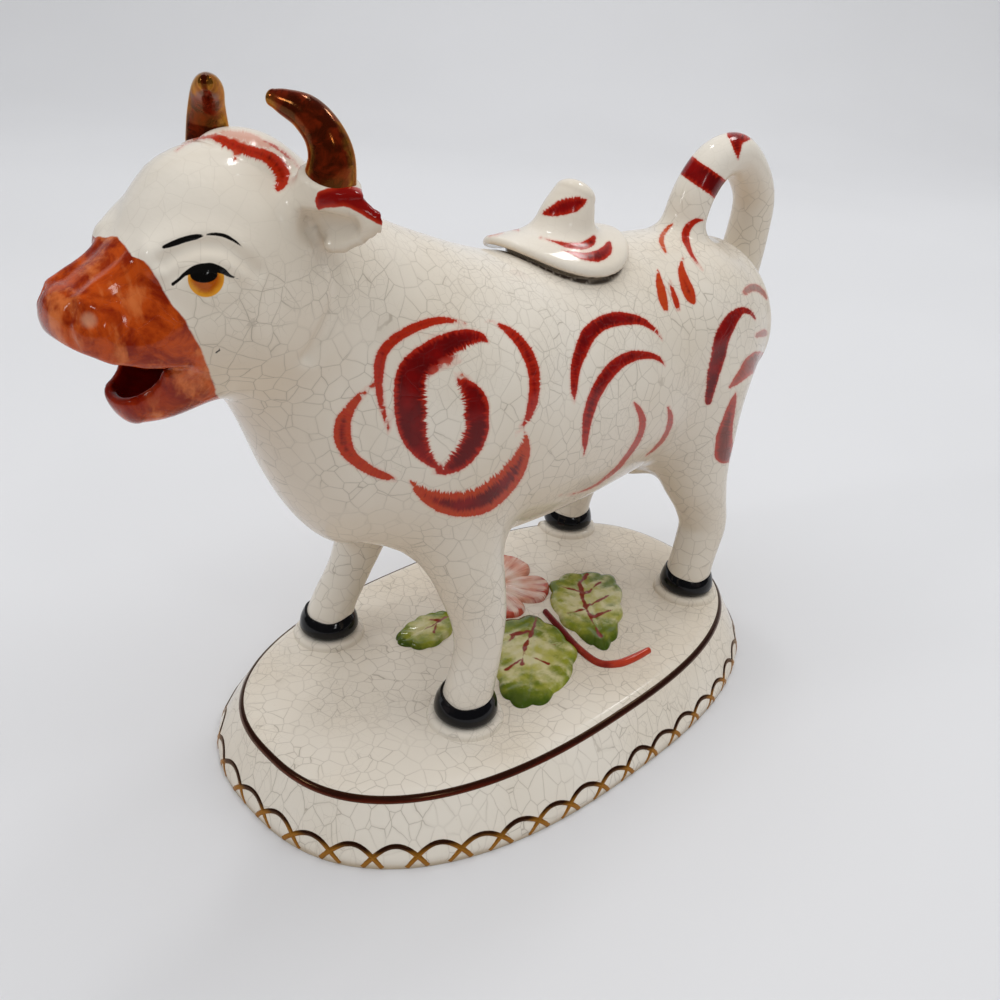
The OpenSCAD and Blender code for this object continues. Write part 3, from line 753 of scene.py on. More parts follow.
POLL_STROKES = (
    (((212, 137, 2.5), (222, 139.5, 5.4), (234, 145, 7.2), (248, 150.5, 6.4), (262, 154.5, 6.6),
      (273, 161, 7.6), (281.5, 172, 8), (281, 183, 6.2), (277, 190, 3)), .3, .22, 1),
    (((176, 151, .5), (187, 142.5, 1.3), (200, 138, 1.7), (216, 136, 2.8)), .6, .1, .85),
    (((234.5, 149, 2.8), (235.5, 155, 2.4), (235, 160.5, 1.4)), .5, .05, .95),
    (((222, 134, 3), (240, 137, 6), (255, 141.5, 6), (268, 147, 3)), 1, .9, .32),
    (((258, 139.5, 1), (272, 145, 1.8), (287, 155.5, 1.6), (299, 168, .8)), .3, .05, .85),
)
LID_STROKES = (
    (((543, 213.5, 1.5), (552, 211, 5.6), (562, 207.5, 8), (573, 204.5, 8), (581, 202, 5),
      (585.5, 200, 1.5)), .05, -.3, 1),
    (((545, 239, .6), (556, 242, 1.6), (568, 245.5, 3), (580, 246, 4), (590, 243, 4.8), (594, 237, 2.4)),
      .1, .06, 1),
    (((562, 250, .6), (573, 253, 2), (585, 256.5, 4), (597, 256, 6), (606, 251, 6), (609, 243, 2.4)),
      0, .06, 1),
    (((489, 235, 1.6), (496, 233, 2.4), (502, 232, 1.6)), 1, .05, .45),
    (((512.5, 229, 1), (518, 230, 1)), .2, .05, .6),
    (((540.2, 237.8, .7), (541.2, 237.8, .7)), .2, .05, .8),
)
# Marks of the face as the camera sees them: mm right of the left eye's middle and above it. The ink's
# strokes have their half-width as well.
INK_STROKES = (
    ((-5.74, 4.08, .24), (-4.46, 4.55, .40), (-2.93, 5.09, .42), (-1.39, 5.46, .38), (-.4, 5.64, .10)),
    ((.1, 5.77, .08), (1.2, 5.84, .22), (2.57, 5.6, .25), (3.92, 4.86, .18), (5.0, 3.99, .05)),
    ((-4.5, -.95, .24), (-3.7, -.35, .22), (-2.93, .36, .28), (-1.9, .9, .48), (-1.0, 1.18, .6),
      (.1, 1.3, .62), (.93, 1.28, .6), (2.28, .85, .42), (3.24, .18, .2), (4.4, -.2, .06)),
    ((1.3, -10.45, .14), (1.8, -9.8, .2)),
)
MUZZLE_EDGE = ((-14.5, 8.6), (-12.16, 5.81), (-9.86, 2.84), (-8.34, 2.2), (-6.8, 0), (-5.45, -2.34),
    (-4.28, -4.07), (-2.93, -5.62), (-1.97, -7.55), (-.81, -9.68), (.15, -12), (1.31, -14.9), (2.4, -18))
# Across the ear: how far right, and how high its paint starts and ends
EAR_EDGE = ((14.7, 10.2, 10.4), (15.2, 9.0, 11.6), (17.0, 9.5, 12.3), (18.7, 9.6, 12.7), (20.6, 8.8, 12.2),
    (22.8, 7.4, 11), (26, 6.0, 9.5))
EYE = np.array([-75.4, -13.2, 110.8]) + PLACE
NOSTRIL = np.array([-89.8, -7.6, 105.8]) + PLACE
# Where each group of strokes may land: two corners of a box in the part's frame
FLANK, SIDE = ((-62, -40, 58), (-8, -2, 108)), ((-12, -40, 48), (84, -1, 108))
RUMP, LOOP = ((32, -16, 92), (64, 14, 114)), ((46, -14, 104), (90, 22, 134))
POLL = ((-78, -18, 116), (-48, 22, 134))
TOP = ((-30, -30, 90), (40, 40, 130))


def in_picture(p):
    """Where points come out in the camera's picture, in pixels, and how many of them a mm takes there."""
    q = p - np.array(CAMERA_PLACE)
    scale = PICTURE_LENS / -(q @ np.array(CAMERA_BACK))
    middle = PICTURE_SIZE / 2
    right, up = q @ np.array(CAMERA_RIGHT), q @ np.array(CAMERA_UP)
    return np.stack([middle + scale * right, middle - scale * up], 1), scale


class Canvas:
    """Paint on a mesh, kept at its points: where a point is in the stroke that covers it best."""

    def __init__(self, verts, faces):
        self.normals = normals_of(verts, faces)
        self.views = []
        for hand in (1, -1):
            p, n = verts.copy(), self.normals * [1, hand, 1]
            p[:, 1] = MIDLINE + (p[:, 1] - MIDLINE) * hand
            facing = (n * unit(np.array(CAMERA_PLACE) - p)).sum(1)
            self.views.append((p, facing, *in_picture(p)))
        self.stroke = np.zeros((len(verts), 3), np.float32)
        self.stroke[:, 2] = NO_MARK
        self.brush = np.zeros((len(verts), 3), np.float32)
        self.laid = 0

    def draw(self, line, manner, region, flip=False, facing_least=-0.3, reach=12):
        """Lays a stroke on a region's points that face the camera. Flipped, it lands on the cow's right."""
        p, facing, spot, scale = self.views[flip]
        s = curve_through(line, 6)
        c, half = s[:, :2], np.maximum(s[:, 2], 0.05)
        gone = run_length(c)
        pad = half.max() + reach
        near = (facing > facing_least) & (p > region[0]).all(1) & (p < region[1]).all(1)
        near = np.where(near & (spot > c.min(0) - pad).all(1) & (spot < c.max(0) + pad).all(1))[0]
        best = np.full(len(near), 1e9)
        found = np.zeros((len(near), 3))
        for j in range(len(c) - 1):
            d = c[j + 1] - c[j]
            q = spot[near] - c[j]
            t = np.clip((q @ d) / max(d @ d, 1e-9), 0, 1)
            r = q - t[:, None] * d
            gap = np.linalg.norm(r, axis=1)
            hand = np.sign(d[0] * r[:, 1] - d[1] * r[:, 0])
            inside = half[j] + (half[j + 1] - half[j]) * t - gap
            closer = -inside < best
            best[closer] = -inside[closer]
            found[closer] = np.stack([gone[j] + (gone[j + 1] - gone[j]) * t, hand * gap, inside], 1)[closer]
        found /= scale[near, None]
        over = found[:, 2] > self.stroke[near, 2]
        self.stroke[near[over]] = found[over] + [self.laid * 37.0, 0, 0]
        self.brush[near[over]] = manner
        self.laid += 1

    def fields(self):
        return {"stroke": self.stroke, "brush": self.brush}


def seen_from_left(p):
    """Where points of the head lie seen from the camera, in mm from the left eye."""
    def view(q):
        q = q - np.array(CAMERA_PLACE)
        deep = -(q @ np.array(CAMERA_BACK))
        return np.stack([q @ np.array(CAMERA_RIGHT), q @ np.array(CAMERA_UP)], -1) / deep[..., None], deep
    flat, _ = view(p)
    eye, far = view(EYE)
    return (flat - eye) * far


def line_gap(q, line, steps=5):
    """How far flat places are inside a stroke of stations x, y, half-width."""
    s = curve_through(line, steps)
    best = np.full(len(q), NO_MARK)
    for a, b in zip(s[:-1], s[1:]):
        d = b[:2] - a[:2]
        t = np.clip(((q - a[:2]) @ d) / max(d @ d, 1e-9), 0, 1)
        gap = np.linalg.norm(q - a[:2] - t[:, None] * d, axis=1)
        best = np.maximum(best, a[2] + (b[2] - a[2]) * t - gap)
    return best


def face_marks(verts, normals):
    """How far points are inside the muzzle's colour, the iris, pupil, ink, nostril and the ear's paint."""
    hand = np.where(verts[:, 1] > MIDLINE, -1.0, 1.0)
    p, n = verts.copy(), normals.copy()
    p[:, 1] = MIDLINE + (p[:, 1] - MIDLINE) * hand
    n[:, 1] *= hand
    head = p[:, 0] < -50
    looking = head & (n @ unit(np.array(CAMERA_PLACE) - EYE) > 0.12)
    q = seen_from_left(p)
    u, v = q[:, 0], q[:, 1]
    edge = np.array(MUZZLE_EDGE)[::-1]
    muzzle = np.where(head, (np.interp(v, edge[:, 1], edge[:, 0]) - u) * 0.86, NO_MARK)
    lash = np.interp(u, [-4.5, -2.93, -1, .93, 2.28, 4.4], [-.9, .5, 1.3, 1.4, .95, -.2])

    def oval(cx, cz, rx, rz):
        k0 = np.hypot((u - cx) / rx, (v - cz) / rz)
        k1 = np.hypot((u - cx) / rx ** 2, (v - cz) / rz ** 2)
        inside = np.minimum(-oval_distance(k0, k1, min(rx, rz)), lash - v)
        return np.where(looking & (p[:, 1] < -4), inside, NO_MARK)

    iris, pupil = oval(0, -.15, 2.5, 2.6), oval(-.3, .35, 1.9, 1.15)
    ink = np.max([line_gap(q, line) for line in INK_STROKES], 0)
    ink = np.where(looking & (p[:, 1] < 1), ink, NO_MARK)
    at, lower, upper = np.array(EAR_EDGE).T
    ear = np.min([v - np.interp(u, at, lower), np.interp(u, at, upper) - v, u - at[0]], 0)
    ear = np.where((p[:, 1] < -11.5) & head & (p[:, 2] < 124), ear, NO_MARK)
    nostril = np.where(head, 1.5 - np.linalg.norm(p - NOSTRIL, axis=1), NO_MARK)
    return {"face": np.stack([muzzle, iris, pupil], 1), "ink": ink, "ear": ear, "nostril": nostril}


def muzzle_colour(place, inside_lips, nostril):
    """Mottled orange-brown, dark red by the mouth and pale in the nostril."""
    blot = place.noise(230.0, 5.0, 0.62, 0.6)
    wash = place.along("MULTIPLY", (1.0, 0.55, 0.4)).noise(300.0, 4.0, 0.6)
    body = blot.rise(0.36, 0.64).mix(tint(134, 32, 2), tint(194, 76, 16))
    body = wash.rise(0.50, 0.70).mix(body, tint(212, 112, 56))
    by_lips = (inside_lips + (blot - 0.5) * 2.0).rise(-2.6, -0.5) * 0.75
    body = by_lips.mix(body, tint(140, 14, 2))
    return ((nostril + (wash - 0.5) * 0.8).rise(0.0, 0.8) * 0.55).mix(body, tint(206, 160, 130))


def eye_colour(place, body, iris, pupil):
    """An amber iris, darker towards its middle, and a black pupil."""
    blot = place.noise(420.0, 4.0)
    amber = (iris + (blot - 0.5) * 1.4).rise(0.1, 1.1).mix(tint(226, 156, 44), tint(176, 84, 6))
    body = iris.rise(-0.06, 0.10).mix(body, amber)
    return pupil.rise(-0.06, 0.10).mix(body, tint(8, 6, 5))


def glaze_of_cow(looks, paint):
    def tree(place):
        up = place.parts()[2] * 1000
        body, cracks = cream_glaze(place, looks, crack=1 - (up - 107).rise(0.0, 9.0) * 0.8)
        muzzle, iris, pupil = place.attribute("face", "Vector").parts()
        mouth = place.attribute("mouth")
        cover = (muzzle + (place.noise(300.0, 3.0) - 0.5) * 0.9).rise(-0.10, 0.22)
        body = cover.mix(body, muzzle_colour(place, mouth, place.attribute("nostril")))
        throat = (mouth + (place.noise(260.0, 3.0) - 0.5) * 0.4).rise(-0.1, 0.4)
        dark = place.noise(200.0, 3.0).rise(0.3, 0.7).mix(tint(84, 4, 2), tint(122, 12, 6))
        body = throat.mix(body, dark)
        ear = place.attribute("ear") + (place.noise(500.0, 3.0) - 0.5) * 0.6
        body = ear.rise(-0.08, 0.18).mix(body, ear.rise(0.0, 0.9).mix(tint(186, 48, 24), tint(132, 10, 6)))
        body, cover_red = brushed(place, body, paint)
        body = eye_colour(place, body, iris, pupil)
        # Painted shadow: a dark brown band on the back where the lid's brim overhangs it
        body = (place.attribute("seat").rise(-0.2, 0.5) * 0.92).mix(body, tint(44, 28, 20))
        ink = place.attribute("ink") + (place.noise(900.0, 2.0) - 0.5) * 0.10
        body = ink.rise(-0.07, 0.07).mix(body, tint(12, 10, 9))
        rough = 0.07 + place.noise(35.0, 2.0) * 0.05 + cracks * 0.10 + cover_red * 0.05
        height = place.noise(60.0, 2.0) * 0.12 - cracks * 0.05 + cover_red * 0.03
        return glossy(body, rough, height, shine=CREAM_SHINE)
    return finish_named("cream crackle glaze", tree)


def finer_at_head(verts, quads, clay):
    """Splits the quads of the head's outside once, and those round the eyes once more."""
    spot = verts[quads].mean(1)
    outer = clay.mass(spot.astype(np.float32))[1] > -1.5
    x, side, z = spot[:, 0], np.abs(spot[:, 1]), spot[:, 2]
    head = outer & (x < -49) & (z > 84) & ((x < -60) | (side > 11) & (z > 108))
    verts, faces = split_quads(verts, quads, head)
    count = 4 * head.sum()
    finer = np.array(faces[:count])
    spot = verts[finer].mean(1)
    x, side, z = spot[:, 0], np.abs(spot[:, 1]), spot[:, 2]
    eyes = (x > -82) & (x < -68) & (side > 4) & (z > 107) & (z < 117.5)
    verts, eye_faces = split_quads(verts, finer, eyes)
    return verts.astype(np.float32), eye_faces + faces[count:]


def lid_share(points):
    """How far points are from the middle of the lid's oval, 1 at its edge."""
    return np.hypot((points[:, 0] - LID_X + LID_AHEAD) / LID_LONG, points[:, 1] / LID_WIDE)


def hole_share(points, inset=0.0):
    return np.hypot((points[:, 0] - LID_X) / (HOLE_LONG - inset), points[:, 1] / (HOLE_WIDE - inset))


def build_jug(looks, paint):
    clay = cow_clay(looks.wall / MM)
    base = PLINTH_TOP + 2.6

    def depth(points):
        d = clay.depth(points)
        hole = (hole_share(points) - 1) * 11.5
        d = np.where(points[:, 2] > 90, trim(d, -hole, 1.5), d)
        return np.maximum(d, base - points[:, 2])

    verts, quads = mould(depth, (-96, -31, 12.5), (93, 31, 130.5), looks.step / MM)
    verts, faces = finer_at_head(verts, quads, clay)
    points = settle(verts, depth, 2, 0.2, 0.4).astype(np.float32)
    cavity = limb_distance(points, mouth_stations(), (3, 3))
    cavity = np.minimum(cavity, limb_distance(points, np.array(on_middle(SCOOP)), (2, 3)))
    mouth = np.where(points[:, 0] < -62, 0.7 - cavity, NO_MARK)
    verts = points + PLACE
    canvas = Canvas(verts, faces)
    groups = ((FLOWER_STROKES, FLANK, True, -.3), (SPRAY_STROKES, SIDE, True, -.3),
              (RUMP_STROKES, RUMP, False, -.3), (TAIL_STROKES, LOOP, False, -2),
              (POLL_STROKES, POLL, False, -.3))
    for strokes, region, both_sides, facing_least in groups:
        for line, *manner in strokes:
            for flip in (False, True)[:1 + both_sides]:
                canvas.draw(line, manner, region, flip, facing_least)
    # Painted shadow: how far points lie inside the band under the lid's brim
    seat = np.where(points[:, 2] > 92, 0.8 - np.abs(lid_share(points) - .90) * 15, NO_MARK)
    fields = canvas.fields() | {"mouth": mouth, "seat": seat} | face_marks(verts, canvas.normals)
    pairs = [f"{part}_{side}" for part in ("fore_leg", "hind_leg", "ear") for side in ("left", "right")]
    nodes = ["body_shell", "tail_handle", "udder"] + pairs
    return piece("cow_jug", verts, faces, glaze_of_cow(looks, paint), nodes, fields)


# The lid


def build_lid(looks, paint):
    """A thin oval brim bedded on the back, crowned up into a knob, with a locating ring beneath."""
    barrel = [on_trunk(*s) for s in BARREL]
    knob = [[LID_X + .3, 0, 103.4, 6.9, 7.0], [LID_X + 1.5, 0, 107.9, 5.8, 6.0],
            [LID_X + 2.6, 0, 110.8, 4.9, 5.1], [LID_X + 3.3, 0, 112.3, 4.3, 4.5]]

    def depth(p):
        back = limb_distance(p, barrel, (7.3, 8.6))
        share = lid_share(p)
        under = 0.35 + 1.0 * np.minimum(share, 1.1) ** 2
        brim = trim(back - under - (1.6 + 2.3 * np.clip(1 - share ** 2, 0, 1)), under - back, 0.5)
        brim = trim(brim, (share - 1) * 15.0, 1.0)
        brim = join(brim, limb_distance(p, knob, (1.75, 2.8)), 2.6)
        brim = trim(brim, under - back, 0.3)
        ring = trim((hole_share(p, 0.8) - 1) * 10.8, (1 - hole_share(p, 3.3)) * 8.4, 0.8)
        ring = trim(trim(ring, 96.6 - p[:, 2], 0.8), back - 1.0, 0.3)
        return join(brim, ring, 0.8)

    verts, quads = mould(depth, (LID_X - 20.5, -17.2, 93.5), (LID_X + 20.5, 17.2, 118), 0.5)
    verts = verts + PLACE
    canvas = Canvas(verts, quads)
    for line, *manner in LID_STROKES:
        canvas.draw(line, manner, TOP, facing_least=0.0)

    def tree(place):
        body, cracks = cream_glaze(place, looks, crack=0.15)
        body, cover = brushed(place, body, paint)
        rough = 0.07 + place.noise(40.0, 2.0) * 0.05 + cover * 0.05
        height = place.noise(60.0, 2.0) * 0.12 + cover * 0.03 - cracks * 0.04
        return glossy(body, rough, height, shine=CREAM_SHINE)

    glaze = finish_named("lid glaze", tree)
    nodes = ["lid", "lid_knob"]
    return piece("lid_glazed", verts, quads, glaze, nodes, canvas.fields(), "lid")


# Hooves and horns


def black_enamel():
    def tree(place):
        body = place.noise(260.0, 3.0).rise(0.55, 0.8).mix(tint(10, 10, 14), tint(34, 30, 32))
        rough = 0.06 + place.noise(120.0, 2.0) * 0.08
        return glossy(body, rough, place.noise(150.0, 2.0), 0.15, shine=0.3)
    return finish_named("black enamel", tree)


def hoof_middle(node):
    """The middle of a hoof in plan, its radius, its foot and its top, from the solid's box."""
    low, high = (np.array(corner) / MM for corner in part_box(node))
    return (low[:2] + high[:2]) / 2, (high[0] - low[0]) / 2, low[2], high[2]


HOOF_WALL = 3.4  # how high a hoof's lower part reaches
# The hoof's lower part: shares of its radius, and mm up
HOOF_FOOT = ((0.88, .7), (0.97, .95), (1.0, 1.5), (0.985, 2.4), (0.955, HOOF_WALL))


def build_hooves(looks):
    """Rounded black hooves, whose painted top edge dips over the front of the leg."""
    enamel = black_enamel()
    turn = circle(56)
    made = []
    for node, thick, face in zip(HOOVES, (0.81, 0.81, 0.85, 0.85), (225, 235, 235, 235)):
        (x, y), radius, foot, top = hoof_middle(node)
        swing = np.cos(turn - math.radians(face))
        rim = top - 1.0 - looks.hoof_dip / MM * np.clip(swing, 0, 1) ** 1.5 + 0.10 * np.sin(5 * turn + face)
        wall = foot + HOOF_WALL
        profile = [(share, foot + up) for share, up in HOOF_FOOT]
        shoulder = (((HOOF_FOOT[-1][0] + thick) / 2 + .008, .5), (thick + .012, .88), (thick, .985),
                    (thick - .02, 1.0), (thick - .07, .93), (thick - .25, .5), (thick - .5, .3))
        profile += [(share, wall + (rim - wall) * mix) for share, mix in shoulder]
        verts, faces = sheath([round_ring(x, y, radius * share, z, turn) for share, z in profile])
        made.append(piece(f"{node}_glossy", verts, faces, enamel, [node]))
    return made


def horn_lustre():
    """Dark red lustre down the middle of a horn, gold in mottles and towards its tip, and gold painted along
    the edges that the camera sees at a slant, as painted reflection.
    """
    def tree(place):
        along, lean, _ = place.attribute("round", "Vector").parts()
        mottle = place.noise(260.0, 4.0, 0.62, 0.8)
        patch = place.noise(480.0, 3.0, 0.55, 0.5)
        # Painted reflection: lean, how far the surface turns sideways to the camera, makes the edges gold
        gold_and_edge_sheen = (lean + (mottle - 0.5) * 1.0 + (along - 14.0).rise(0.0, 6.0) * 0.60 - 0.64).rise(0.0, 0.34)
        dark = patch.rise(0.4, 0.65).mix(tint(66, 7, 3), tint(118, 28, 9))
        body = gold_and_edge_sheen.mix(dark, patch.rise(0.35, 0.7).mix(tint(120, 70, 18), tint(176, 122, 52)))
        metal = {"Metallic": 0.35 + gold_and_edge_sheen * 0.45, "IOR": 1.8, "Specular Tint": tint(255, 196, 96)}
        return glossy(body, 0.10 + patch * 0.08, mottle, 0.12, 0.5, **metal)
    return finish_named("copper lustre", tree)


def build_horns():
    lustre = horn_lustre()
    made = []
    for hand, side in ((-1, "left"), (1, "right")):
        stations = [[x, hand * y, z, r, r] for x, y, z, r in HORN]
        verts, faces, along = limb_mesh(stations, (1.2, 1.0), (1, 0, 0), 48, 8, 6)
        # Painted reflection: how far each point's surface turns sideways to the camera, which the lustre
        # paints gold
        lean = np.abs(normals_of(verts, faces) @ unit(np.array(CAMERA_RIGHT)))
        fields = {"round": np.stack([along, lean, np.zeros(len(along))], 1)}
        node = f"horn_{side}"
        made.append(piece(f"{node}_lustre", verts + PLACE, faces, lustre, [node], fields))
    return made


# Plinth

PLINTH_LONG, PLINTH_WIDE, PLINTH_WALL = 140.0, 87.0, 4.0
PLINTH_TAPER = np.array([11.0, 15.0])  # how much shorter and narrower the top is than the foot
# The plinth's side: how far in towards the size of its top, and how high, as shares
PLINTH_SHARES = ((0, 0), (0, .15), (.16, .32), (.42, .56), (.68, .78), (.84, .91), (1, .975), (1.12, 1))
OVAL_POWER = 2.5
PLINTH_MIDDLE = np.array([PLINTH_X, 0, 0])


def oval_ring(long, wide, z, count=300):
    """Points spaced evenly round a squared-off oval."""
    t = np.linspace(0, 2 * math.pi, 4001)
    c, s = np.cos(t), np.sin(t)
    x = np.sign(c) * np.abs(c) ** (2 / OVAL_POWER) * long / 2
    y = np.sign(s) * np.abs(s) ** (2 / OVAL_POWER) * wide / 2
    gone = run_length(np.stack([x, y], 1))
    at = np.linspace(0, gone[-1], count, endpoint=False)
    return np.stack([np.interp(at, gone, x), np.interp(at, gone, y), np.full(count, z)], 1)


def plinth_size(inset):
    return np.array([PLINTH_LONG, PLINTH_WIDE]) - PLINTH_TAPER * inset


def plinth_ring(inset, z, inward=0.0, count=300):
    return oval_ring(*(plinth_size(inset) - 2 * inward), z, count) + PLINTH_MIDDLE


def pad_rings(x, y):
    """A low clay pad round a hoof, kept inside the top's oval."""
    turn = circle(48)
    profile = ((8.4, -.6), (8.2, 0), (8.05, .5), (7.9, .9), (7.6, 1.2), (7.0, 1.35), (6.2, 1.4), (3, 1.4))
    rings = np.array([round_ring(x, y, r, PLINTH_TOP + z, turn) for r, z in profile])
    flat = rings[..., :2] - PLINTH_MIDDLE[:2]
    powers = np.abs(flat / (plinth_size(1.05) / 2)) ** OVAL_POWER
    share = powers.sum(-1, keepdims=True) ** (1 / OVAL_POWER)
    rings[..., :2] = flat / np.maximum(share, 1) + PLINTH_MIDDLE[:2]
    return rings


def build_plinth(looks):
    outer = curve_through(PLINTH_SHARES, 5)
    ceiling = PLINTH_TOP - PLINTH_WALL
    inner = [plinth_ring(s, max(z * ceiling, 0.0), PLINTH_WALL) for s, z in outer[1:]]
    deep = PLINTH_MIDDLE + [0, 0, ceiling]
    rings = [deep + (inner[-1] - deep) * k for k in (.07, .4, .75)] + inner[::-1]
    rings += [plinth_ring(0, 0, PLINTH_WALL), plinth_ring(0, 0, PLINTH_WALL / 2)]
    rings += [plinth_ring(s, z * PLINTH_TOP) for s, z in outer]
    top, middle = rings[-1], PLINTH_MIDDLE + [0, 0, PLINTH_TOP]
    rings += [middle + (top - middle) * k for k in (.97, .93, .86, .77, .66, .54, .42, .30, .18, .07)]
    verts, faces = gather([sheath(rings)] + [sheath(pad_rings(*hoof_middle(node)[0])) for node in HOOVES])

    def tree(place):
        body, cracks = cream_glaze(place, looks, (1.0, 1.0, 0.5))
        foot = (place.parts()[2] * 1000 + (place.noise(160.0, 3.0) - 0.5) * 1.2).rise(0.2, 1.6)
        rough = 0.08 + place.noise(30.0, 2.0) * 0.06 + cracks * 0.10
        height = place.noise(45.0, 2.0) * 0.16 - cracks * 0.05
        return glossy(foot.mix(tint(196, 178, 152), body), rough, height, shine=CREAM_SHINE)

    glaze = finish_named("plinth glaze", tree)
    return piece("plinth_glazed", verts, faces, glaze, ["plinth"])


# Lustre line and scallops, laid on the plinth by geometry nodes


class Growth:
    """A geometry node tree with named inputs."""

    def __init__(self, name, inputs):
        self.tree = bpy.data.node_groups.new(name, "GeometryNodeTree")
        self.tree.interface.new_socket("Geometry", in_out="OUTPUT", socket_type="NodeSocketGeometry")
        self.keys = {}
        for title, (kind, *default) in inputs.items():
            socket = self.tree.interface.new_socket(title, in_out="INPUT", socket_type=f"NodeSocket{kind}")
            for value in default:
                socket.default_value = value
            self.keys[title] = socket.identifier
        self.given = Wire(self.tree).add("NodeGroupInput")

    def node(self, kind, sockets=None, out=0, **settings):
        return self.given.add(f"GeometryNode{kind}", sockets, out, **settings)

    def end(self, geometry):
        self.given.add("NodeGroupOutput", {"Geometry": geometry})

    def grow(self, name, host, values, material, slot):
        """Runs the tree on a host and keeps its result as a plain mesh piece."""
        modifier = host.modifiers.new(self.tree.name, "NODES")
        modifier.node_group = self.tree
        for key, value in (values | {"Material": material}).items():
            modifier[self.keys[key]] = value
        host.update_tag()
        bpy.context.view_layer.update()
        graph = bpy.context.evaluated_depsgraph_get()
        mesh = bpy.data.meshes.new_from_object(host.evaluated_get(graph), depsgraph=graph)
        mesh.name = name
        bpy.data.objects.remove(host)
        if not mesh.materials:
            mesh.materials.append(material)
        return dress(new_object(name, mesh), "jug", ())


def laid_line():
    """Lays curves on a surface as low rounded beads of paint."""
    line = Growth("laid line", {"Curves": ("Geometry",), "Surface": ("Object",),
                                "Half Width": ("Float", 0.0004), "Proud": ("Float", 0.35),
                                "Material": ("Material",)})
    given = line.given
    ware = line.node("ObjectInfo", {"Object": given.out("Surface")}, "Geometry", transform_space="RELATIVE")

    def nearest():
        return line.node("Proximity", {"Geometry": ware}, "Position", target_element="FACES")

    path = line.node("SetPosition", {"Geometry": given, "Position": nearest()})
    half = given.out("Half Width")
    bead = line.node("CurvePrimitiveCircle", {"Resolution": 8, "Radius": 1.0}, mode="RADIUS")
    bead = line.node("Transform", {"Geometry": bead, "Scale": given.vector(half, half, half)})
    tube = line.node("CurveToMesh", {"Curve": path, "Profile Curve": bead, "Fill Caps": True})
    skin = nearest()
    off = line.node("InputPosition").along("SUBTRACT", skin)
    off = off.add("ShaderNodeVectorMath", {0: off, "Scale": given.out("Proud")}, operation="SCALE")
    flat = line.node("SetPosition", {"Geometry": tube, "Position": skin.along("ADD", off)})
    whole = line.node("RealizeInstances", {"Geometry": flat})
    whole = line.node("SetShadeSmooth", {"Geometry": whole, "Shade Smooth": True})
    line.end(line.node("SetMaterial", {"Geometry": whole, "Material": given.out("Material")}))
    return line


def scallops_of(line):
    """Overlapping arches that stand round a foot, drawn with the laid line."""
    arches = Growth("scallops", {"Path": ("Geometry",), "Surface": ("Object",), "Count": ("Int", 42),
                                 "Arch Width": ("Float", 0.012), "Arch Height": ("Float", 0.005),
                                 "Half Width": ("Float", 0.0004), "Material": ("Material",)})
    given = arches.given
    spread = {"Curve": given, "Count": given.out("Count")}
    points = arches.node("CurveToPoints", spread, "Points", mode="COUNT")
    turn = "FunctionNodeAlignRotationToVector"
    upright = given.add(turn, {"Vector": points.out("Tangent")}, axis="X")
    upright = given.add(turn, {"Rotation": upright, "Vector": (0.0, 0.0, 1.0)}, axis="Y", pivot_axis="X")
    bow = {"Resolution": 16, "Start": (-0.5, -0.04, 0), "Middle": (0, 1.98, 0), "End": (0.5, -0.04, 0)}
    arch = arches.node("CurveQuadraticBezier", bow)
    reach = arches.node("SplineParameter", out="Factor")
    swell = 0.62 + 0.75 * ((reach * math.pi).math("SINE") ** 2.0)
    arch = arches.node("SetCurveRadius", {"Curve": arch, "Radius": swell})
    size = given.vector(given.out("Arch Width"), given.out("Arch Height"), 1.0)
    arch = arches.node("Transform", {"Geometry": arch, "Scale": size})
    ends = {0: (0.93, 0.88, 1.0), 1: (1.07, 1.08, 1.0), "Seed": 4}
    shake = given.add("FunctionNodeRandomValue", ends, data_type="FLOAT_VECTOR")
    stand = {"Points": points, "Instance": arch, "Rotation": upright, "Scale": shake}
    loose = arches.node("RealizeInstances", {"Geometry": arches.node("InstanceOnPoints", stand)})
    drawn = {key: given.out(key) for key in ("Surface", "Half Width", "Material")}
    node = arches.tree.nodes.new("GeometryNodeGroup")
    node.node_tree = line.tree
    feed(arches.tree, node, drawn | {"Curves": loose, "Proud": 0.32})
    arches.end(Wire(arches.tree, node.outputs["Geometry"]))
    return arches


def ring_curve(name, points):
    curve = bpy.data.curves.new(name, "CURVE")
    curve.dimensions = "3D"
    spline = curve.splines.new("POLY")
    spline.points.add(len(points) - 1)
    spline.points.foreach_set("co", np.column_stack([points * MM, np.ones(len(points))]).ravel())
    spline.use_cyclic_u = True
    return new_object(name, curve)


def gold_line(name, low, high, dark_from, dark_to, metal):
    """A fired lustre line, gold where thin and dark red-brown where thick, by its height."""
    def tree(place):
        up = place.parts()[2] * 1000
        blot = place.noise(110.0, 3.0, 0.6)
        region = place.noise(16.0, 1.0)
        dark = (up - dark_from) / (dark_to - dark_from) + (blot - 0.5) * 1.4 + (region - 0.5) * 1.6
        warm = {"Metallic": metal, "IOR": 1.6, "Specular Tint": tint(255, 214, 150)}
        grain = place.noise(500.0, 2.0)
        return glossy(dark.rise(0.2, 0.95).mix(low, high), 0.16 + blot * 0.10, grain, 0.08, 0.5, **warm)
    return finish_named(name, tree)


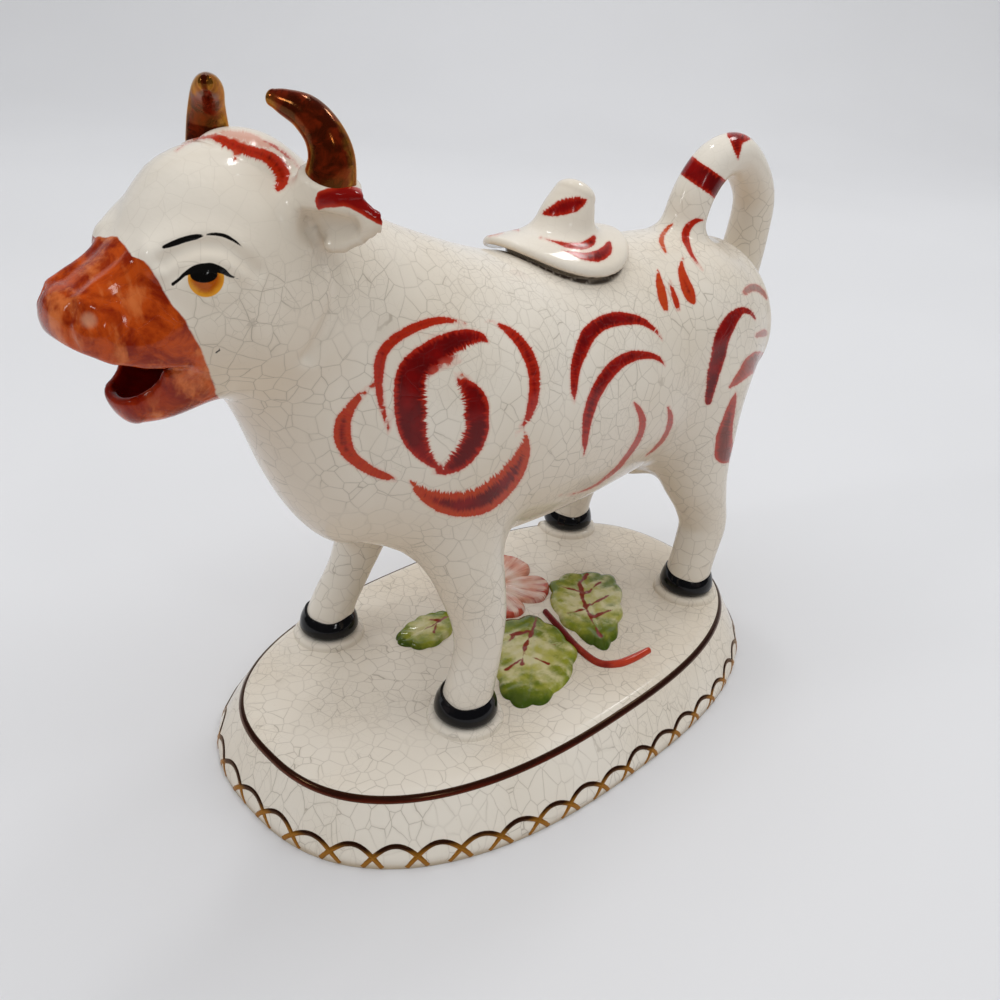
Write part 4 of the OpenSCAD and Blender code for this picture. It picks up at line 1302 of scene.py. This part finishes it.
def build_trim(looks):
    ware = bpy.data.objects["plinth_glazed"]
    line = laid_line()
    arches = scallops_of(line)
    scallop_gold = gold_line("scallop lustre", tint(158, 104, 34), tint(46, 16, 10), 2.4, 4.2, 0.45)
    shoulder = gold_line("line lustre", tint(84, 18, 10), tint(40, 8, 8), 11.2, 12.2, 0.15)
    path = ring_curve("scallop path", plinth_ring(0.02, 0.55, -0.2, 360))
    sizes = {"Surface": ware, "Count": looks.scallops, "Arch Width": looks.arch_width,
             "Arch Height": looks.arch_height, "Half Width": looks.line_width / 2}
    band = arches.grow("scallop_lustre", path, sizes, scallop_gold, "copper_lustre")
    path = ring_curve("shoulder path", plinth_ring(0.86, 0.92 * PLINTH_TOP, 0.0, 360))
    sizes = {"Surface": ware, "Half Width": looks.line_width * 0.75, "Proud": 0.22}
    return band, line.grow("shoulder_line_lustre", path, sizes, shoulder, "copper_lustre")


# Sprig

# Each leaf's outline, its stalk and its tip, on the plinth's top
LEAVES = {
    "leaf_left": (((-24, 12.2), (-20.5, 14.6), (-16.9, 15.5), (-13.2, 15.8), (-10.3, 15.1), (-7.6, 13.8),
      (-5.7, 11.9), (-8.4, 8.2), (-11.6, 6.3), (-16.2, 5.0), (-20.6, 5.5), (-23.2, 8.4)), (-6.5, 11.6),
      (-23.5, 10.4)),
    "leaf_middle": (((-5.5, -2.7), (-3.0, 0.6), (0.1, 2.1), (5.0, 1.6), (9.2, -0.9), (10.0, -6.0),
      (9.0, -12.0), (6.7, -17.4), (1.0, -21.6), (-7.2, -24.6), (-12.4, -25.4), (-16.3, -24.3),
      (-18.6, -21.4), (-18.1, -17.8), (-15.6, -13.2), (-11.9, -9.5), (-8.4, -6.0)), (7.5, -2.0),
      (-15.5, -22.5)),
    "leaf_right": (((19.7, 4.3), (23.2, 7.0), (27.2, 7.4), (31.4, 6.4), (35.1, 3.8), (37.8, 1.2),
      (38.5, -2), (35.8, -6.6), (31.4, -10.6), (27.0, -14.4), (22.3, -17.2), (17.4, -20.2), (12.9, -21.4),
      (10.8, -19.2), (11, -15.8), (11.4, -11.0), (12.2, -6.5), (15.4, -0.8)), (14.0, -18.5), (33.0, 4.5)),
}
# Each leaf's midrib, then its side veins
VEINS = {
    "leaf_left": (((-7, 11.4), (-12, 10.8), (-17, 10.6)), ((-11, 11), (-14, 13.2)), ((-13, 10.4),
      (-15.6, 8.2))),
    "leaf_middle": (((8, -2.6), (3, -6), (-3, -9.5), (-8, -13.5)), ((3.4, -6), (-2, -3.8)), ((0, -8),
      (3.4, -13)), ((-4.6, -11), (-3, -17)), ((-6, -12), (-12, -12.5)), ((-2, -4.6), (-5.4, -5.6))),
    "leaf_right": (((14.6, -17.5), (18.6, -10.5), (23, -4.5), (27.5, 0.5)), ((18, -11), (25.5, -12.4)),
      ((21, -7.2), (29.6, -7.4)), ((24, -3.4), (32.6, -2.0)), ((20, -8), (15.4, -6.2)), ((25, -2),
      (22.6, 3.2)), ((28, 1), (32.6, 2.6))),
}
# A petal's outline, as shares of its length: out from the hub, and to the side
PETAL = ((0.10, 0.00), (0.24, 0.20), (0.50, 0.38), (0.78, 0.42), (0.97, 0.27), (1.0, 0.06), (0.985, -0.10),
    (0.90, -0.32), (0.66, -0.42), (0.40, -0.34), (0.20, -0.18))
STEM = ((12.3, -1.6), (9.8, -9.5), (7.6, -17.0), (7.2, -23.4), (10.4, -26.4), (14.8, -27.4), (20.0, -27.8))
STEM_HALF_WIDTHS, STEM_HALF_HEIGHT = (0.75, 0.85, 0.9, 1.0, 1.1, 1.05, 0.8), 1.0
RIB_EVERY = 4.4
FLOWER_HUB, PETAL_LONG = np.array([10.2, 15.3]), 14.6


def closed_loop(points, steps):
    p = np.array(points, float)
    around = np.concatenate([p[-2:], p, p[:3]])
    return curve_through(around, steps)[2 * steps:(len(p) + 2) * steps]


def relief(outline, height, centre=None, rings=22, steps=9, lobes=0, lobe_deep=0.0):
    """A low relief with a steep edge over a loop. height(x, y, share) gives its rise."""
    loop = closed_loop(outline, steps)
    hub = loop.mean(0) if centre is None else np.array(centre)
    wave = np.linspace(0, math.pi * lobes, len(loop), endpoint=False)
    loop = hub + (loop - hub) * (1 - lobe_deep * (1 - np.abs(np.sin(wave))))[:, None]
    layers = []
    for share in np.concatenate([[1.02, 1.0, .985, .96, .93, .89], np.linspace(.84, .04, rings)]):
        xy = hub + (loop - hub) * min(share, 1.0)
        z = np.full(len(loop), -0.5) if share > 1 else height(*xy.T, share)
        layers.append(np.column_stack([xy, PLINTH_TOP + z]))
    verts, faces = sheath(layers)
    return verts + PLINTH_MIDDLE, faces


def build_leaf(node, high, material):
    outline, stalk, tip = LEAVES[node]
    axis = unit(np.array(tip) - stalk)

    def on_leaf(x, y):
        """How far places are along the midrib and beside it."""
        x, y = x - stalk[0], y - stalk[1]
        return x * axis[0] + y * axis[1], y * axis[0] - x * axis[1]

    def height(x, y, share):
        u, v = on_leaf(x, y)
        bend = u - np.abs(v) * 0.75 + 0.9 * np.sin(u * 0.6 + v)
        ribs = 0.5 + 0.5 * np.cos(2 * math.pi * bend / RIB_EVERY)
        groove = np.exp(-(v / 0.55) ** 2)
        edge = np.clip((1 - share) / 0.11, 0, 1) ** 0.5
        return edge * (high * 0.62 + 0.20 * ribs - 0.30 * groove + 0.15 * np.exp(-(v / 5) ** 2))

    verts, faces = relief(outline, height, lobes=11, lobe_deep=0.075)
    flat = (verts - PLINTH_MIDDLE)[:, :2]
    half_widths = [0.55] + [0.42] * len(VEINS[node])
    veins = [[(*p, half) for p in line] for line, half in zip(VEINS[node], half_widths)]
    vein = np.max([line_gap(flat, line, 6) for line in veins], 0)
    u, v = on_leaf(*flat.T)
    hub = np.mean(outline, 0)
    out = np.hypot(*(flat - hub).T) / np.hypot(*(np.array(outline) - hub).T).mean()
    fields = {"vein": vein, "leaf": np.stack([u, np.abs(v), out], 1)}
    return piece(f"{node}_relief", verts, faces, material, [node], fields)


def leaf_paint():
    def tree(place):
        u, v, out = place.attribute("leaf", "Vector").parts()
        blot = place.noise(170.0, 4.0, 0.65)
        ribs = ((u - v * 0.75 + blot * 5.0) * (2 * math.pi / RIB_EVERY)).math("COSINE")
        thick = (out * 0.95 + (blot - 0.5) * 2.2 + ribs * 0.10 - 0.34).rise(-0.05, 0.60)
        pale = place.noise(210.0, 3.0).rise(0.4, 0.65).mix(tint(214, 208, 160), tint(178, 176, 86))
        green = place.noise(260.0, 3.0).rise(0.35, 0.7).mix(tint(100, 118, 20), tint(150, 156, 44))
        body = thick.mix(pale, green)
        body = ((out - 0.90) + (blot - 0.5) * 0.8).rise(0.0, 0.35).mix(body, tint(66, 88, 12))
        vein = place.attribute("vein") + (place.noise(600.0, 3.0) - 0.5) * 0.7
        vein = vein + (place.noise(230.0, 2.0) - 0.55) * 2.2
        body = vein.rise(-0.12, 0.25).mix(body, tint(132, 40, 22))
        return glossy(body, 0.09 + blot * 0.08, place.noise(300.0, 3.0), 0.15, 0.5)
    return finish_named("brushed green", tree)


def petal_paint():
    def tree(place):
        out, lean, _ = place.attribute("petal", "Vector").parts()
        streak = place.vector(lean * 9.0, out * 1.2, 0.0).noise(1.0, 4.0, 0.6)
        rim = (out + (streak - 0.5) * 0.5 - 0.88).rise(0.0, 0.10)
        red = (streak * 1.5 + out * 0.45 - 0.95).rise(0.0, 0.6).math("MAXIMUM", rim)
        pink = place.noise(150.0, 3.0).rise(0.35, 0.65).mix(tint(230, 206, 192), tint(216, 156, 132))
        paint = place.noise(240.0, 3.0).rise(0.4, 0.6).mix(tint(192, 84, 62), tint(160, 36, 24))
        return glossy(red.mix(pink, paint), 0.10 + streak * 0.06, streak, 0.15, 0.5)
    return finish_named("brushed petal red", tree)


def build_petals():
    """Five petals round a domed eye, each with how far out and how far round it a point is."""
    meshes, marks = [], []
    for k in range(5):
        turn = 2 * math.pi * (k + 0.3) / 5
        spin = np.array([[math.cos(turn), -math.sin(turn)], [math.sin(turn), math.cos(turn)]])
        outline = [FLOWER_HUB + spin @ (np.array(p) * PETAL_LONG) for p in PETAL]

        def on_petal(x, y):
            x, y = x - FLOWER_HUB[0], y - FLOWER_HUB[1]
            return np.hypot(x, y) / PETAL_LONG, np.arctan2(y, x) - turn

        def height(x, y, share):
            out, lean = on_petal(x, y)
            folds = 0.5 + 0.5 * np.cos(lean * 16)
            return np.clip((1 - share) / 0.12, 0, 1) ** 0.5 * (0.55 + 0.55 * out + 0.20 * folds)

        centre = FLOWER_HUB + spin @ np.array([0.62, 0]) * PETAL_LONG
        verts, faces = relief(outline, height, centre, 14, 5)
        meshes.append((verts, faces))
        marks.append(np.stack([*on_petal(*(verts - PLINTH_MIDDLE)[:, :2].T), np.zeros(len(verts))], 1))
    middle, turn = FLOWER_HUB + PLINTH_MIDDLE[:2], circle(20)
    dome = ((3.6, -.4), (3.5, .6), (3.0, 1.3), (2.0, 1.65), (.8, 1.78))
    eye = sheath([round_ring(*middle, r, PLINTH_TOP + z, turn) for r, z in dome])
    verts, faces = gather(meshes + [eye])
    marks.append(np.tile([1.1, 0.4, 0], (len(eye[0]), 1)))
    fields = {"petal": np.concatenate(marks)}
    return piece("flower_petals_relief", verts, faces, petal_paint(), ["flower"], fields)


def build_stem():
    stations = [[x + PLINTH_X, y, PLINTH_TOP + 0.1, STEM_HALF_HEIGHT, half]
                for (x, y), half in zip(STEM, STEM_HALF_WIDTHS)]
    verts, faces, along = limb_mesh(stations, (0.6, 0.7), (0, 0, 1), 16, 6, 4)

    def tree(place):
        blot = place.noise(240.0, 3.0)
        wear = (place.attribute("gone") / 40.0 + (blot - 0.5) * 0.8).rise(0.35, 0.95)
        return glossy(wear.mix(tint(112, 14, 14), tint(196, 62, 34)), 0.10 + blot * 0.06, blot, 0.12, 0.5)

    paint = finish_named("brushed stem red", tree)
    return piece("flower_stem_relief", verts, faces, paint, ["flower_stem"], {"gone": along})


def build_sprig(looks):
    green = leaf_paint()
    leaves = [build_leaf(node, looks.relief / MM, green) for node in LEAVES]
    return *leaves, build_petals(), build_stem()


# Stage

CAMERA_PLACE = (-134.86, -127.4, 147.7)
PICTURE_SIZE = 1000.0
PICTURE_LENS = 950.0  # the lens of 34.2 mm over a sensor 36 mm wide, in pixels of that picture
CAMERA_RIGHT = (0.7189, -0.6917, 0.0680)
CAMERA_UP = (0.2844, 0.3820, 0.8793)
CAMERA_BACK = (-0.6342, -0.6128, 0.4714)
FLOOR_DEEP, BEND_RADIUS, WALL_TALL = 0.55, 0.35, 1.6  # m
# Each lamp's place in m, its width and height, its share of the ceiling's power, and whether gloss shows it
LAMPS = {
    "overhead panel": ((0.40, 0.56, 1.45), 0.12, 0.26, 0.10, True),
    "right panel": ((1.02, 0.14, 1.20), 0.28, 0.17, 0.12, True),
    "left panel": ((-1.10, 0.35, 0.85), 0.13, 0.21, 0.07, True),
    "front panel": ((-0.30, -1.20, 1.10), 0.12, 0.20, 0.05, True),
    "right fill": ((1.10, -0.90, 1.20), 0.60, 0.60, 0.12, False),
}


def axes_at(right, up, back, place):
    return Matrix([[right[i], up[i], back[i], place[i]] for i in range(3)] + [[0, 0, 0, 1]])


def area_lamp(name, place, towards, wide, tall, power, seen):
    lamp = bpy.data.lights.new(name, "AREA")
    lamp.shape, lamp.size, lamp.size_y = "RECTANGLE", wide, tall
    lamp.energy = power
    obj = new_object(name, lamp)
    back = unit(np.array(place) - np.array(towards))
    side = unit(np.cross((0.0, 0.02, 1.0), back))
    obj.matrix_world = axes_at(side, np.cross(back, side), back, place)
    obj.visible_glossy = seen


def build_sweep(looks):
    """A floor that bends up into a wall behind the jug."""
    turns = np.linspace(0.1, math.pi / 2, 14)
    bend = [(FLOOR_DEEP + BEND_RADIUS * math.sin(a), BEND_RADIUS * (1 - math.cos(a))) for a in turns]
    bend = [(-0.75, 0.0), (FLOOR_DEEP, 0.0)] + bend + [(FLOOR_DEEP + BEND_RADIUS, WALL_TALL)]
    along = unit(np.array(CAMERA_RIGHT) * [1, 1, 0])
    away = np.array([-along[1], along[0], 0])
    verts = [along * s + away * d * 1.6 + [0, 0, z] for d, z in bend for s in (-2.2, 2.2)]
    faces = [[2 * k, 2 * k + 1, 2 * k + 3, 2 * k + 2] for k in range(len(bend) - 1)]
    mesh = new_mesh("floor_sweep", verts, faces)
    mesh.shade_smooth()

    def tree(place):
        darker = opaque(c * 0.97 for c in looks.floor)
        body = place.noise(3.0, 2.0).rise(0.3, 0.7).mix(opaque(looks.floor), darker)
        return {"Base Color": body, "Roughness": 0.55, "Specular IOR Level": 0.25}

    mesh.materials.append(finish_named("pale sweep", tree))
    floor = new_object("floor_sweep", mesh)
    return floor


def build_room(looks):
    """Light from all round, weaker in gloss and a flat pale grey to the camera."""
    world = bpy.context.scene.world or bpy.data.worlds.new("studio")
    bpy.context.scene.world = world
    world.use_nodes = True
    seen = Wire(world.node_tree).add("ShaderNodeLightPath", out="Is Camera Ray")
    level = looks.world_level * (1 - seen.out("Is Glossy Ray") * 0.75) * (1 - seen) + seen * 0.72
    back = world.node_tree.nodes["Background"]
    feed(world.node_tree, back, {"Color": (1.0, 0.99, 0.975, 1), "Strength": level})


def build_camera(looks):
    camera = bpy.data.cameras.new("camera")
    camera.sensor_width, camera.lens = 36.0, looks.lens
    camera.clip_start, camera.clip_end = 0.01, 20
    eye = new_object("camera", camera)
    eye.matrix_world = axes_at(CAMERA_RIGHT, CAMERA_UP, CAMERA_BACK, np.array(CAMERA_PLACE) * MM)
    bpy.context.scene.camera = eye
    bpy.context.scene.view_settings.view_transform = "Standard"


def build_stage(looks):
    build_sweep(looks)
    area_lamp("ceiling", (-0.10, 0.0, 1.60), (-0.10, 0.0, 0.0), 2.4, 2.4, looks.key_power, False)
    for name, (place, wide, tall, share, seen) in LAMPS.items():
        area_lamp(name, place, (0, 0, 0.06), wide, tall, looks.key_power * share, seen)
    build_room(looks)
    build_camera(looks)


# Sizes, operators and panel


def length(name, text, default):
    return bpy.props.FloatProperty(name=name, description=text, default=default, unit="LENGTH", precision=5)


def number(name, text, default, **more):
    return bpy.props.FloatProperty(name=name, description=text, default=default, **more)


def colour(name, text, *rgb):
    ways = {"size": 3, "subtype": "COLOR", "min": 0, "max": 1}
    return bpy.props.FloatVectorProperty(name=name, description=text, default=tint(*rgb)[:3], **ways)


class GlazeLooks(bpy.types.PropertyGroup):
    """The cast body and its cream glaze."""
    wall: length("Wall", "Thickness of the cast wall", 0.004)
    step: length("Skin Step", "Spacing of the points on the jug's skin", 0.00105)
    hoof_dip: length("Hoof Dip", "How far the painted hoof edge dips at the front", 0.0009)
    crackle_cell: length("Crackle Cell", "Width of a plate of glaze between cracks", 0.0033)
    crackle_depth: number("Crackle Depth", "How dark the cracks are stained", 0.50,
                          subtype="FACTOR", min=0, max=1)
    glaze: colour("Glaze", "Cream of the glaze where it is thin", 236, 229, 217)
    glaze_shade: colour("Glaze Shade", "Cream of the glaze where it pools", 227, 217, 201)
    # Painted shade: the darker, warmer cream that the glaze takes where it faces down
    glaze_painted_under_shade: colour("Glaze Under", "Cream of the glaze where it faces down", 208, 182, 150)
    crackle_tone: colour("Crackle Tone", "Stain in the cracks", 128, 112, 94)


class BrushLooks(bpy.types.PropertyGroup):
    """The brushed red."""
    deep_red: colour("Deep Red", "Red where the brush laid it thick", 134, 4, 3)
    dark_red: colour("Dark Red", "Darkest red", 98, 2, 3)
    edge_red: colour("Edge Red", "Red at the edge of a stroke", 178, 36, 16)
    orange: colour("Orange Red", "Red where the brush ran dry", 196, 76, 22)


class TrimLooks(bpy.types.PropertyGroup):
    """The lustre line and scallops."""
    scallops: bpy.props.IntProperty(name="Scallops", description="Number of arches round the foot",
                                    default=44, min=12, max=90)
    arch_width: length("Arch Width", "Width of one arch", 0.0128)
    arch_height: length("Arch Height", "Height of one arch", 0.0048)
    line_width: length("Line Width", "Width of a lustre line", 0.00105)


class SprigLooks(bpy.types.PropertyGroup):
    """The relief sprig on the plinth."""
    relief: length("Relief", "How far the sprig stands up", 0.0015)


class StageLooks(bpy.types.PropertyGroup):
    """Floor, lamps and camera."""
    floor: colour("Floor", "Colour of the sweep", 224, 225, 228)
    key_power: number("Ceiling Light", "Power of the light from the ceiling, which the panels follow", 18.0,
                      unit="POWER", min=0)
    world_level: number("Room Light", "Level of the light all round", 0.37, min=0)
    lens: number("Lens", "Focal length", 34.2, unit="CAMERA", min=10)


LOOKS = {"glaze": GlazeLooks, "brush": BrushLooks, "trim": TrimLooks, "sprig": SprigLooks,
         "stage": StageLooks}


def run(build, context, *groups):
    """Builds pieces from the groups of looks that they need."""
    build(*(getattr(context.scene, f"creamer_{group}") for group in groups))
    return {"FINISHED"}


class CREAMER_OT_stage(bpy.types.Operator):
    """Sets the floor, lamps, world and camera"""
    bl_idname = "creamer.stage"
    bl_label = "Stage"

    def execute(self, context):
        return run(build_stage, context, "stage")


class CREAMER_OT_plinth(bpy.types.Operator):
    """Builds the oval plinth with its clay pads"""
    bl_idname = "creamer.plinth"
    bl_label = "Plinth"

    def execute(self, context):
        return run(build_plinth, context, "glaze")


class CREAMER_OT_trim(bpy.types.Operator):
    """Lays the shoulder line and the scallops on the plinth"""
    bl_idname = "creamer.trim"
    bl_label = "Lustre Trim"

    def execute(self, context):
        return run(build_trim, context, "trim")


class CREAMER_OT_sprig(bpy.types.Operator):
    """Builds the relief leaves, petals and stem"""
    bl_idname = "creamer.sprig"
    bl_label = "Sprig"

    def execute(self, context):
        return run(build_sprig, context, "sprig")


class CREAMER_OT_hooves(bpy.types.Operator):
    """Builds the four black hooves"""
    bl_idname = "creamer.hooves"
    bl_label = "Hooves"

    def execute(self, context):
        return run(build_hooves, context, "glaze")


class CREAMER_OT_horns(bpy.types.Operator):
    """Builds the two lustre horns"""
    bl_idname = "creamer.horns"
    bl_label = "Horns"

    def execute(self, context):
        return run(build_horns, context)


class CREAMER_OT_jug(bpy.types.Operator):
    """Builds the cow with its legs, ears, tail and udder, glazed and brushed"""
    bl_idname = "creamer.jug"
    bl_label = "Cow Jug"

    def execute(self, context):
        return run(build_jug, context, "glaze", "brush")


class CREAMER_OT_lid(bpy.types.Operator):
    """Builds the lid with its knob and ring"""
    bl_idname = "creamer.lid"
    bl_label = "Lid"

    def execute(self, context):
        return run(build_lid, context, "glaze", "brush")


STEPS = (CREAMER_OT_stage, CREAMER_OT_plinth, CREAMER_OT_trim, CREAMER_OT_sprig,
         CREAMER_OT_hooves, CREAMER_OT_horns, CREAMER_OT_jug, CREAMER_OT_lid)


class CREAMER_PT_sidebar(bpy.types.Panel):
    """Lists the creamer's pieces and their looks"""
    bl_label = "Cow Creamer"
    bl_idname = "CREAMER_PT_sidebar"
    bl_space_type = "VIEW_3D"
    bl_region_type = "UI"
    bl_category = "Cow Creamer"

    def draw(self, context):
        for name, group in LOOKS.items():
            box = self.layout.box()
            for key in group.__annotations__:
                box.prop(getattr(context.scene, f"creamer_{name}"), key)
        for step in STEPS:
            self.layout.operator(step.bl_idname)


CLASSES = (*LOOKS.values(), *STEPS, CREAMER_PT_sidebar)


def register():
    for group in CLASSES:
        bpy.utils.register_class(group)
    for name, group in LOOKS.items():
        setattr(bpy.types.Scene, f"creamer_{name}", bpy.props.PointerProperty(type=group))


def unregister():
    for name in LOOKS:
        delattr(bpy.types.Scene, f"creamer_{name}")
    for group in reversed(CLASSES):
        bpy.utils.unregister_class(group)


def main():
    register()
    for step in STEPS:
        family, name = step.bl_idname.split(".")
        getattr(getattr(bpy.ops, family), name)()


if __name__ == "__main__":
    main()
